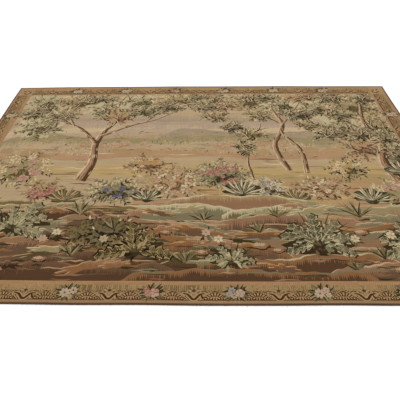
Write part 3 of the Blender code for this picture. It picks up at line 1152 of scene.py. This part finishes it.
def draw_strip(strip, low, high, shift, first):
    """One side of the border: its bands, then its repeating ornament."""
    for w0, w1, dye, second, turn in BANDS:
        strip.lay([(low, w0), (high, w0), (high, w1), (low, w1)], dye, second, uneven(turn))
    count = int((high - low) / REPEAT) + 3
    for i in range(-count // 2, count // 2 + 1):
        s = shift + (i + 0.5) * REPEAT
        for k in range(FILLINGS):
            at = s + REPEAT * (k + 0.5) / FILLINGS
            way = 1 - 2 * (k % 2)
            if low + 0.015 < at < high - 0.015:
                strip.curl(at, 0.0790, 90 - 60 * way, 0.0100, way, FILLING_DYES[k % 6], 0.22)
                strip.petal(at, 0.0460, 90 - 40 * way, 0.0180, 0.0070, "umber")
                strip.lay([(at - 0.0045, 0.0160), (at + 0.0045, 0.0160), (at, 0.0280)], "wine brown")
        for offset, draw in ((0.25, draw_shell), (0.5, draw_bracket), (0.75, draw_shell)):
            at = s + offset * REPEAT
            if low + 0.09 < at < high - 0.09:
                draw(strip, at)
        if low + 0.10 < s < high - 0.10:
            draw_spray(strip, s, SPRAYS[(i + first) % len(SPRAYS)])


def draw_corner(x, y, way):
    """A leafy scroll that turns the corner: dark leaves along the diagonal."""
    half = BORDER / 2
    square = [(x - half, y - half), (x + half, y - half), (x + half, y + half), (x - half, y + half)]
    lay(square, "border gold", "tan", 0.45)
    for angle, length, dye, light in (
        (45, 0.070, "dark brown", "umber"), (18, 0.056, "dark brown", "clay"), (72, 0.056, "walnut", "clay"),
        (-10, 0.040, "walnut", "olive"), (100, 0.040, "walnut", "olive"),
    ):
        a = math.radians(angle) + way
        foot = place([(-0.030, -0.030)], x, y, way)[0]
        shaded_leaf(*foot, a, length, 0.016, dye, light, 0.1)
    for dx, dy, turn_way in ((0.030, -0.020, 1), (-0.020, 0.030, -1)):
        px, py = place([(dx, dy)], x, y, way)[0]
        lay(hook(px, py, way, 0.016, turn_way), "border cream")
        lay(hook(px, py, way + 0.5, 0.009, turn_way, 0.22), "umber")
    px, py = place([(-0.012, -0.012)], x, y, way)[0]
    rose(px, py, 0.017, ("coral", "pink", "pale pink"))


def draw_border():
    """Four strips and four corners."""
    front = Strip((0.0, -CLOTH_Y), (1, 0), (0, 1))
    back = Strip((0.0, FIELD_Y), (1, 0), (0, 1))
    left = Strip((-CLOTH_X, 0.0), (0, -1), (1, 0))
    right = Strip((FIELD_X, 0.0), (0, -1), (1, 0))
    draw_strip(left, -CLOTH_Y, CLOTH_Y, 0.02, 2)
    draw_strip(right, -CLOTH_Y, CLOTH_Y, 0.02, 1)
    draw_strip(front, -CLOTH_X, CLOTH_X, -0.013, 2)
    draw_strip(back, -CLOTH_X, CLOTH_X, -0.008, 2)
    half = BORDER / 2
    for sx, sy, way in ((-1, -1, math.pi), (1, -1, -math.pi / 2), (-1, 1, math.pi / 2), (1, 1, 0.0)):
        draw_corner(sx * (CLOTH_X - half), sy * (CLOTH_Y - half), way)


# Joining the patches into one sheet

# The cloth is triangulated in tiles, each with a few points of its own along its sides
TILES_X = 25
TILES_Y = 15
CELLS = 4

# Points nearer than these are one point, within a tile and between tiles
SNAP = 1e-6
MERGE = 1e-5

# The outlines are rounded to this many digits of a metre
GRID = 4

# Edges shorter than a yarn are taken out, in a few rounds
YARN = 0.0019
THINNING_ROUNDS = 4

# A patch longer than this keeps the lines of a coarse lattice, so that none of its faces is large
LARGE_PATCH = 0.10
LATTICE = 2 * CLOTH_X / TILES_X / 3

# A face's material number can't be higher than this, so the patches' codes start again there
MATERIAL_CODES = 32000


def cut_slab(outline, axis, low, high):
    """Cut an outline to the slab between two lines, each crossing found on the uncut edge."""
    kept = []
    for a, b in zip(outline, outline[1:] + outline[:1]):
        if low <= a[axis] <= high:
            kept.append(a)
        crossings = []
        for limit in (low, high):
            if (a[axis] - limit) * (b[axis] - limit) < 0:
                t = (limit - a[axis]) / (b[axis] - a[axis])
                meet = [a[0] + (b[0] - a[0]) * t, a[1] + (b[1] - a[1]) * t]
                meet[axis] = limit
                crossings.append((t, tuple(meet)))
        kept.extend(point for _, point in sorted(crossings))
    return kept


def inside_outline(outline, x, y):
    """Which of many points lie inside an outline, as an array of true and false."""
    corners = numpy.array(outline)
    ahead = numpy.roll(corners, -1, axis=0)
    x0, y0, x1, y1 = (column[:, None] for column in (*corners.T, *ahead.T))
    crosses = (y0 > y) != (y1 > y)
    rise = numpy.where(crosses, y1 - y0, 1.0)
    meets = x0 + (y - y0) * (x1 - x0) / rise
    return (crosses & (x < meets)).sum(axis=0) % 2 == 1


def tile_triangles(corners, pieces):
    """Triangulate one tile. Returns its points, its triangles and the topmost patch of each."""
    (x0, y0), (x1, y1) = corners
    points = [
        Vector((x0 + (x1 - x0) * i / CELLS, y0 + (y1 - y0) * j / CELLS))
        for i in range(CELLS + 1) for j in range(CELLS + 1)
    ]
    edges = []
    for outline, _ in pieces:
        start, count = len(points), len(outline)
        points.extend(Vector(p) for p in outline)
        edges.extend((start + k, start + (k + 1) % count) for k in range(count))
    verts, _, triangles, *_ = delaunay_2d_cdt(points, edges, [], 0, SNAP, False)
    place_of = numpy.array([v[:] for v in verts])
    x, y = place_of[numpy.array(triangles)].mean(axis=1).T
    owners = numpy.full(len(triangles), -1)
    for outline, owner in pieces:
        low, high = numpy.min(outline, axis=0), numpy.max(outline, axis=0)
        near = numpy.flatnonzero((x > low[0]) & (x < high[0]) & (y > low[1]) & (y < high[1]))
        owners[near[inside_outline(outline, x[near], y[near])]] = owner
    return verts, triangles, owners.tolist()


def cut_into_tiles():
    """Each tile's share of every patch, as {(column, row): [(outline, patch number)]}."""
    wide, deep = 2 * CLOTH_X / TILES_X, 2 * CLOTH_Y / TILES_Y
    tiles = {}
    for number, item in enumerate(patches):
        outline = [(round(x, GRID), round(y, GRID)) for x, y in item.outline]
        outline = cut_to_box(outline, -CLOTH_X, CLOTH_X, -CLOTH_Y, CLOTH_Y)
        outline = [p for p, q in zip(outline, outline[1:] + outline[:1]) if math.dist(p, q) > MERGE]
        if len(outline) < 3:
            continue
        columns = [int((p[0] + CLOTH_X) / wide) for p in outline]
        for i in range(max(0, min(columns) - 1), min(TILES_X, max(columns) + 2)):
            column = cut_slab(outline, 0, -CLOTH_X + wide * i, -CLOTH_X + wide * (i + 1))
            rows = [int((p[1] + CLOTH_Y) / deep) for p in column] or [-9]
            for j in range(max(0, min(rows) - 1), min(TILES_Y, max(rows) + 2)):
                piece = cut_slab(column, 1, -CLOTH_Y + deep * j, -CLOTH_Y + deep * (j + 1))
                if len(piece) > 2:
                    tiles.setdefault((i, j), []).append((piece, number))
    return tiles


def mend_seams(shape):
    """Close the slits that are left where two tiles cut their common line at other points."""
    crowded = [edge for edge in shape.edges if len(edge.link_faces) > 2]
    spare = {min(edge.link_faces, key=lambda face: face.calc_area()) for edge in crowded}
    bmesh.ops.delete(shape, geom=list(spare), context="FACES")
    slits = [edge for edge in shape.edges if edge.is_boundary and not on_outline(edge)]
    bmesh.ops.holes_fill(shape, edges=slits, sides=0)


def turn_diagonals(shape, owner):
    """Turn the diagonal of two faces that share one edge with two others, so all edges have two."""
    for edge in [edge for edge in shape.edges if len(edge.link_faces) > 2]:
        first, second = sorted(edge.link_faces, key=lambda face: face.calc_area())[:2]
        a, b = edge.verts
        c, d = [vert for face in (first, second) for vert in face.verts if vert not in edge.verts]
        number = first[owner]
        bmesh.ops.delete(shape, geom=[first, second], context="FACES_ONLY")
        for corners in ((a, c, d), (c, b, d)):
            if c is not d and not shape.faces.get(corners):
                shape.faces.new(corners)[owner] = number
    loose = [edge for edge in shape.edges if not edge.link_faces]
    bmesh.ops.delete(shape, geom=loose, context="EDGES")


def thin_out(shape):
    """Draw the ends of edges that are shorter than a yarn together, wherever the net stays whole."""
    fixed = {vert for edge in shape.edges if not edge.is_manifold for vert in edge.verts}
    target = {}
    for edge in shape.edges:
        goes, stays = edge.verts
        if edge.calc_length() > YARN or goes in fixed or stays in fixed:
            continue
        around = {link.other_vert(goes) for link in goes.link_edges}
        if len(around.intersection(link.other_vert(stays) for link in stays.link_edges)) != 2:
            continue
        if all(keeps_its_side(face, goes, stays) for face in goes.link_faces):
            target[goes] = stays
            fixed.update(around, (link.other_vert(stays) for link in stays.link_edges), (goes, stays))
    bmesh.ops.weld_verts(shape, targetmap=target)


def keeps_its_side(face, goes, stays):
    """True if a flat triangle still faces up once one of its corners moves onto another vertex."""
    if stays in face.verts:
        return True
    before = [vert.co for vert in face.verts]
    after = [stays.co if vert is goes else vert.co for vert in face.verts]
    turn = [
        (b.x - a.x) * (c.y - a.y) - (c.x - a.x) * (b.y - a.y)
        for a, b, c in (before, after)
    ]
    return turn[0] * turn[1] > 0 and abs(turn[1]) > abs(turn[0]) / 10


def join_patches():
    """The whole design as one flat layer of triangles, each with the number of its patch."""
    shape = bmesh.new()
    owner = shape.faces.layers.int.new("patch")
    wide, deep = 2 * CLOTH_X / TILES_X, 2 * CLOTH_Y / TILES_Y
    for (i, j), pieces in sorted(cut_into_tiles().items()):
        low = (-CLOTH_X + wide * i, -CLOTH_Y + deep * j)
        high = (-CLOTH_X + wide * (i + 1), -CLOTH_Y + deep * (j + 1))
        points, triangles, tops = tile_triangles((low, high), pieces)
        verts = [shape.verts.new((p.x, p.y, 0.0)) for p in points]
        for triangle, top in zip(triangles, tops):
            shape.faces.new([verts[k] for k in triangle])[owner] = top
    bmesh.ops.remove_doubles(shape, verts=shape.verts, dist=MERGE)
    mend_seams(shape)
    for face in shape.faces:
        item = patches[face[owner]]
        code = face[owner] * 4
        if max(item.high[0] - item.low[0], item.high[1] - item.low[1]) > LARGE_PATCH:
            middle = face.calc_center_median()
            code += int((middle.x + RUG_WIDTH) / LATTICE) % 2
            code += 2 * (int((middle.y + RUG_DEPTH) / LATTICE) % 2)
        face.material_index = code % MATERIAL_CODES
    bmesh.ops.dissolve_limit(
        shape, angle_limit=0.01, use_dissolve_boundaries=False,
        verts=shape.verts, edges=shape.edges, delimit={"MATERIAL"})
    bmesh.ops.triangulate(shape, faces=shape.faces)
    turn_diagonals(shape, owner)
    for _ in range(THINNING_ROUNDS):
        thin_out(shape)
    return shape, owner


def close_cloth(shape, owner):
    """Give the layer of triangles its thickness: walls round its edge and one plain underside."""
    rim = [edge for edge in shape.edges if edge.is_boundary and on_outline(edge)]
    walls = bmesh.ops.extrude_edge_only(shape, edges=rim)["geom"]
    low = [item for item in walls if isinstance(item, bmesh.types.BMVert)]
    low_set = set(low)
    for face in [item for item in walls if isinstance(item, bmesh.types.BMFace)]:
        face[owner] = -1
    for vert in shape.verts:
        if vert not in low_set:
            vert.co.z = CLOTH_THICKNESS + packing_height(vert.co.x, vert.co.y)
    edges = [e for e in shape.edges if e.verts[0] in low_set and e.verts[1] in low_set]
    for face in bmesh.ops.triangle_fill(shape, edges=edges, use_beauty=True, normal=(0, 0, -1))["geom"]:
        if isinstance(face, bmesh.types.BMFace):
            face[owner] = -2
    for vert in shape.verts:
        vert.co.x, vert.co.y = lay_point(vert.co.x, vert.co.y)
    bmesh.ops.recalc_face_normals(shape, faces=shape.faces)


def on_outline(edge):
    """True if an edge lies on the cloth's own outline."""
    a, b = edge.verts[0].co, edge.verts[1].co
    return any(
        abs(abs(a[axis]) - reach) < MERGE and abs(abs(b[axis]) - reach) < MERGE
        for axis, reach in ((0, CLOTH_X), (1, CLOTH_Y))
    )


UNDERSIDE_DYE = ("tan", "olive")

# The rug's top fills this upper share of the bake map, over a strip for its walls and underside
TOP_SHARE = 0.88


def dress_cloth(mesh, owners):
    """Store each corner's two dyes, how far one has turned into the other, and its bake place."""
    dyes = {name: linear(value) for name, value in DYES.items()}
    first, second, turns, leaves, places = [], [], [], [], []
    points = [v.co for v in mesh.vertices]
    for polygon, number in zip(mesh.polygons, owners):
        item = patches[number] if number >= 0 else None
        names = (item.dye, item.second) if item else UNDERSIDE_DYE
        shade = item.shade if item else 1.0
        colors = [[c * shade for c in dyes[name][:3]] + [1.0] for name in names]
        for index in polygon.vertices:
            x, y, z = points[index]
            first.extend(colors[0])
            second.extend(colors[1])
            turns.append(item.turn_at(x, y) if item else 0.5)
            leaves.append(item.leafy if item else 1.0)
            across, up = (x + HALF_WIDTH) / RUG_WIDTH, (y + HALF_DEPTH) / RUG_DEPTH
            if item:
                places.extend((0.002 + 0.996 * across, 1 - TOP_SHARE * (1 - 0.998 * up)))
            else:
                lift = z / CLOTH_THICKNESS * 0.01
                places.extend((0.01 + 0.3 * across + lift, 0.01 + 0.1 * up + lift * 0.2))
    for name, kind, values in (
        ("dye", "FLOAT_COLOR", first), ("second dye", "FLOAT_COLOR", second),
        ("turn", "FLOAT", turns), ("leafy", "FLOAT", leaves),
    ):
        layer = mesh.attributes.new(name, kind, "CORNER")
        layer.data.foreach_set("color" if kind == "FLOAT_COLOR" else "value", values)
    mesh.uv_layers.new(name="OFBake").data.foreach_set("uv", places)


def add_node(tree, kind, inputs=None, **settings):
    """Add a shader node with its settings, and set or link its inputs."""
    made = tree.nodes.new(kind)
    for name, value in settings.items():
        setattr(made, name, value)
    for name, value in (inputs or {}).items():
        if isinstance(value, bpy.types.NodeSocket):
            tree.links.new(value, made.inputs[name])
        else:
            made.inputs[name].default_value = value
    return made


# The weave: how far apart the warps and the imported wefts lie, and the width of a hachure's tooth
WARP_STEP = 0.0028
WEFT_STEP = 0.0016
TOOTH = 0.0090


def tapestry_wool():
    """Dyed wool weft, woven colour by colour and beaten down until it hides the warps.

    The hidden warps show as fine level ribs, with painted shade in the grooves between them, and the wefts as
    short upright strokes across them.
    Colours meet as comb teeth or as small leaves, each dye lot is a little uneven, and the wool's
    fibres make it matt from every side.
    """
    material, tree, shader = new_material("tapestry-woven dyed wool")
    place_node = add_node(tree, "ShaderNodeTexCoord")
    split = add_node(tree, "ShaderNodeSeparateXYZ", {0: place_node.outputs["Object"]})
    x, y = split.outputs[0], split.outputs[1]

    def math_node(operation, a, b=0.0, c=0.0):
        return add_node(tree, "ShaderNodeMath", {0: a, 1: b, 2: c}, operation=operation).outputs[0]

    def noise(across, up, detail=1.0):
        scaled = add_node(tree, "ShaderNodeVectorMath",
                          {0: place_node.outputs["Object"], 1: (across, up, 1.0)}, operation="MULTIPLY")
        inputs = {"Vector": scaled.outputs[0], "Scale": 1.0, "Detail": detail}
        return add_node(tree, "ShaderNodeTexNoise", inputs, noise_dimensions="2D").outputs[0]

    dye = add_node(tree, "ShaderNodeAttribute", attribute_name="dye").outputs["Color"]
    second = add_node(tree, "ShaderNodeAttribute", attribute_name="second dye").outputs["Color"]
    turn = add_node(tree, "ShaderNodeAttribute", attribute_name="turn").outputs["Fac"]
    leafy = add_node(tree, "ShaderNodeAttribute", attribute_name="leafy").outputs["Fac"]

    # The comb of teeth, each of its own length, stepped from warp to warp
    tooth = math_node("DIVIDE", x, TOOTH)
    tooth = math_node("ADD", tooth, math_node("MULTIPLY", noise(9.0, 5.0), 1.6))
    peak = math_node("MULTIPLY", math_node("PINGPONG", tooth, 0.5), 2.0)
    lot = add_node(tree, "ShaderNodeTexWhiteNoise", {"W": math_node("FLOOR", tooth)},
                   noise_dimensions="1D").outputs["Value"]
    comb = math_node("MULTIPLY_ADD", peak, 0.42, math_node("MULTIPLY", lot, 0.34))
    comb = math_node("ADD", comb, math_node("MULTIPLY", noise(30.0, 12.0), 0.25))

    # Small leaves
    scaled = add_node(tree, "ShaderNodeVectorMath",
                      {0: place_node.outputs["Object"], 1: (62.0, 46.0, 1.0)}, operation="MULTIPLY")
    cells = add_node(tree, "ShaderNodeTexVoronoi", {"Vector": scaled.outputs[0], "Scale": 1.0},
                     voronoi_dimensions="2D")
    speck = math_node("MULTIPLY", noise(55.0, 40.0), 0.45)
    speckle = math_node("MULTIPLY_ADD", cells.outputs["Distance"], 0.8, speck)

    limit = add_node(tree, "ShaderNodeMix", {0: leafy, 2: comb, 3: speckle}).outputs[0]
    passed = math_node("GREATER_THAN", turn, limit)
    color = add_node(tree, "ShaderNodeMix", {0: passed, 6: dye, 7: second}, data_type="RGBA").outputs[2]

    # Uneven dye lots run level, and each weft stroke differs a little. The colour is also darkened in the
    # grooves between the warp ribs, which is painted shade
    level = math_node("MULTIPLY", math_node("SUBTRACT", noise(2.5, 60.0, 2.0), 0.5), 0.22)
    stroke = math_node("MULTIPLY", math_node("SUBTRACT", noise(420.0, 90.0), 0.5), 0.30)
    cloudy = math_node("MULTIPLY", math_node("SUBTRACT", noise(7.0, 9.0, 2.0), 0.5), 0.16)
    rib = math_node("ABSOLUTE", math_node("SINE", math_node("MULTIPLY", y, math.pi / WARP_STEP)))
    shade = math_node("ADD", math_node("ADD", level, stroke), cloudy)
    # Painted shade: the rib term darkens the colour in the grooves between the warps
    shade = math_node("ADD", shade, math_node("MULTIPLY_ADD", rib, 0.10, 0.94))
    color = add_node(tree, "ShaderNodeVectorMath", {0: color, "Scale": shade}, operation="SCALE").outputs[0]

    # Relief: each warp is a level rib, crossed by the wefts in turn
    row = math_node("MULTIPLY", math_node("FLOOR", math_node("DIVIDE", y, WARP_STEP)), math.pi / 2)
    weft = math_node("ABSOLUTE", math_node("SINE", math_node("MULTIPLY_ADD", x, math.pi / WEFT_STEP, row)))
    height = math_node("MULTIPLY_ADD", rib, 0.7, math_node("MULTIPLY", weft, 0.3))
    bump = add_node(tree, "ShaderNodeBump", {"Height": height, "Strength": 0.5, "Distance": 0.0006})
    tree.links.new(color, shader.inputs["Base Color"])
    tree.links.new(bump.outputs[0], shader.inputs["Normal"])
    shader.inputs["Roughness"].default_value = 0.93
    shader.inputs["Specular IOR Level"].default_value = 0.06
    shader.inputs["Sheen Weight"].default_value = 0.02
    shader.inputs["Sheen Roughness"].default_value = 0.6
    return material


def make_cloth():
    """The woven cloth with its whole design."""
    draw_field()
    draw_border()
    shape, owner = join_patches()
    close_cloth(shape, owner)
    mesh = bpy.data.meshes.new("rug_cloth")
    owners = [face[owner] for face in shape.faces]
    for face in shape.faces:
        face.material_index = 0
    shape.to_mesh(mesh)
    shape.free()
    dress_cloth(mesh, owners)
    mesh.materials.append(tapestry_wool())
    cloth = bpy.data.objects.new("rug_cloth", mesh)
    bpy.context.scene.collection.objects.link(cloth)
    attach(cloth, "root")
    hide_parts("woven_cloth")
    return cloth


# The edge tape, its sewing and the loose ends of yarn

TAPE_ROUNDING = 0.0016
TAPE_STEPS = 220

# How far apart the stitches are, half their length, their thickness and the height they lie at
STITCH_PITCH = 0.0065
STITCH_HALF = 0.0026
STITCH_RADIUS = 0.00045
STITCH_HEIGHT = 0.0035
STITCH_FALL = 0.0004


def tape_profile():
    """The tape's cross-section as (distance in from the rug's edge, height), anticlockwise."""
    profile = [(0.0, 0.0), (0.0, BINDING_THICKNESS - TAPE_ROUNDING)]
    for i in range(1, 5):
        a = math.pi / 2 * i / 4
        profile.append((TAPE_ROUNDING * (1 - math.cos(a)),
                        BINDING_THICKNESS - TAPE_ROUNDING * (1 - math.sin(a))))
    # The inner edge turns down onto the cloth
    inner = BINDING_WIDTH + SEWING_GAP * 0.7
    profile += [(inner - 0.0014, BINDING_THICKNESS), (inner - 0.0004, BINDING_THICKNESS - 0.0004),
                (inner, BINDING_THICKNESS - 0.0010), (inner, 0.0)]
    return profile


def wool_tape():
    """Dark brown wool tape, woven narrow and folded over the edge.

    Its fibres scatter the light, so it looks matt, and it is paler in places where it is worn.
    """
    material, tree, shader = new_material("dark brown wool tape")
    spot = add_node(tree, "ShaderNodeTexCoord")
    where = spot.outputs["Object"]
    fibre = add_node(tree, "ShaderNodeTexNoise", {"Vector": where, "Scale": 260.0, "Detail": 2.0})
    wear = add_node(tree, "ShaderNodeTexNoise", {"Vector": where, "Scale": 5.0, "Detail": 2.0})
    share = add_node(tree, "ShaderNodeMath", {0: fibre.outputs[0], 1: wear.outputs[0]}, operation="MULTIPLY")
    color = add_node(tree, "ShaderNodeMix", {0: share.outputs[0], 6: linear("#3a2617"), 7: linear("#785a3b")},
                     data_type="RGBA")
    bump = add_node(tree, "ShaderNodeBump", {"Height": fibre.outputs[0], "Strength": 0.5, "Distance": 0.0006})
    tree.links.new(color.outputs[2], shader.inputs["Base Color"])
    tree.links.new(bump.outputs[0], shader.inputs["Normal"])
    shader.inputs["Roughness"].default_value = 0.92
    shader.inputs["Specular IOR Level"].default_value = 0.2
    return material


def thread_wool(name, color):
    """Wool yarn of one colour, twisted from strands that show as fine slanted ridges."""
    material, tree, shader = new_material(name)
    spot = add_node(tree, "ShaderNodeTexCoord")
    inputs = {"Vector": spot.outputs["Object"], "Scale": 400.0, "Distortion": 2.0}
    twist = add_node(tree, "ShaderNodeTexWave", inputs)
    bump = add_node(tree, "ShaderNodeBump", {"Height": twist.outputs[1], "Strength": 0.4, "Distance": 0.0002})
    tree.links.new(bump.outputs[0], shader.inputs["Normal"])
    shader.inputs["Base Color"].default_value = linear(color)
    shader.inputs["Roughness"].default_value = 0.9
    return material


def new_piece(name, shape, material):
    """Make an object of a finished shape, smooth where it curves, and tell the frame of it."""
    mesh = bpy.data.meshes.new(name)
    shape.to_mesh(mesh)
    shape.free()
    mesh.materials.append(material)
    mesh.shade_smooth()
    mesh.set_sharp_from_angle(angle=math.radians(40))
    piece = bpy.data.objects.new(name, mesh)
    bpy.context.scene.collection.objects.link(piece)
    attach(piece, "root")
    return piece


def make_tape(side, material):
    """One sewn edge tape, a folded strip along its edge of the rug."""
    along_x, sign, node = side
    reach = HALF_WIDTH if along_x else HALF_DEPTH - BINDING_WIDTH - SEWING_GAP * 0.3
    outer = HALF_DEPTH if along_x else HALF_WIDTH
    shape = bmesh.new()
    rings = []
    for i in range(TAPE_STEPS + 1):
        run = reach * (2 * i / TAPE_STEPS - 1)
        row = []
        for inward, height in tape_profile():
            across = sign * (outer - inward)
            x, y = lay_point(run, across) if along_x else lay_point(across, run)
            row.append(shape.verts.new((x, y, height)))
        rings.append(row)
    count = len(rings[0])
    for before, after in zip(rings, rings[1:]):
        for k in range(count):
            shape.faces.new((before[k], before[(k + 1) % count], after[(k + 1) % count], after[k]))
    shape.faces.new(rings[0])
    shape.faces.new(rings[-1][::-1])
    bmesh.ops.recalc_face_normals(shape, faces=shape.faces)
    piece = new_piece("edge_tape_" + node.split("_")[1], shape, material)
    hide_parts(node)
    return piece


def make_stitches(side, material):
    """The slanted stitches that hold one tape down, each a short bead of thread over the seam."""
    along_x, sign, node = side
    reach = (CLOTH_X if along_x else CLOTH_Y) - 0.006
    seam = (HALF_DEPTH if along_x else HALF_WIDTH) - BINDING_WIDTH
    bpy.ops.mesh.primitive_ico_sphere_add(subdivisions=1, radius=1.0)
    bead = bpy.context.object
    shape = bmesh.new()
    count = int(2 * reach / STITCH_PITCH)
    for i in range(count + 1):
        run = -reach + 2 * reach * (i + rng.uniform(-0.12, 0.12)) / count
        lean = rng.uniform(0.25, 0.55)
        made = len(shape.verts)
        shape.from_mesh(bead.data)
        shape.verts.ensure_lookup_table()
        for vert in shape.verts[made:]:
            along = vert.co.x * STITCH_RADIUS * 1.2 + vert.co.y * STITCH_HALF * lean
            inward = vert.co.y * STITCH_HALF
            across = sign * (seam - inward)
            lift = STITCH_HEIGHT - STITCH_FALL * vert.co.y + vert.co.z * STITCH_RADIUS
            x, y = lay_point(run + along, across) if along_x else lay_point(across, run + along)
            vert.co = (x, y, lift)
    bpy.data.objects.remove(bead, do_unlink=True)
    # At the back and on the left the beads are mirrored, so their faces are turned outward again
    if along_x == (sign > 0):
        bmesh.ops.reverse_faces(shape, faces=shape.faces)
    return new_piece("stitches_" + node.split("_")[1], shape, material)


YARN_ENDS = (
    # (place along the front edge, length, how far it leans, ends in the tuft)
    (-0.737, 0.004, 0.3, 1),
    (-0.360, 0.005, -0.2, 1),
    (0.000, 0.005, 0.1, 1),
    (0.120, 0.004, 0.4, 1),
    (0.212, 0.006, -0.5, 3),
    (0.380, 0.007, 0.1, 1),
    (0.505, 0.004, -0.3, 1),
)
YARN_RADIUS = 0.0006
YARN_CORNERS = (0.0, 1.2566, 2.5133, 3.7699, 5.0265)
YARN_STEPS = 6

# How much of an end is hidden under the tape
YARN_HIDDEN = 0.004


def make_yarn_ends(material):
    """Short ends of dark yarn that stick out from under the front edge."""
    shape = bmesh.new()
    for x, length, lean, ends in YARN_ENDS:
        for k in range(ends):
            aim = lean + (k - (ends - 1) / 2) * 0.7
            ring_before = None
            for i in range(YARN_STEPS + 1):
                t = i / YARN_STEPS
                width = YARN_RADIUS * (1.0 - 0.45 * t)
                bend = aim + 0.5 * t * (1 if k % 2 else -1)
                run = (length + YARN_HIDDEN) * t - YARN_HIDDEN
                cx, cy = lay_point(x + run * math.sin(bend), -HALF_DEPTH)
                cy -= run * math.cos(bend)
                height = 0.0012 - 0.0005 * t
                row = [shape.verts.new((cx + width * math.cos(a), cy, height + width * math.sin(a)))
                       for a in YARN_CORNERS]
                if ring_before:
                    for j in range(5):
                        shape.faces.new((ring_before[j], ring_before[(j + 1) % 5], row[(j + 1) % 5], row[j]))
                else:
                    shape.faces.new(row)
                ring_before = row
            shape.faces.new(ring_before[::-1])
    bmesh.ops.recalc_face_normals(shape, faces=shape.faces)
    return new_piece("yarn_ends", shape, material)


SIDES = (
    # (runs along X, sign of its side, the frame's node)
    (True, -1, "binding_front"),
    (True, 1, "binding_back"),
    (False, -1, "binding_left"),
    (False, 1, "binding_right"),
)


def main():
    """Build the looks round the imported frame."""
    make_camera()
    make_studio()
    cloth = make_cloth()
    tape = wool_tape()
    thread = thread_wool("brown sewing wool", "#5a4532")
    trim = [make_tape(side, tape) for side in SIDES]
    trim += [make_stitches(side, thread) for side in SIDES]
    trim.append(make_yarn_ends(thread_wool("brown warp yarn", "#6b5138")))


main()
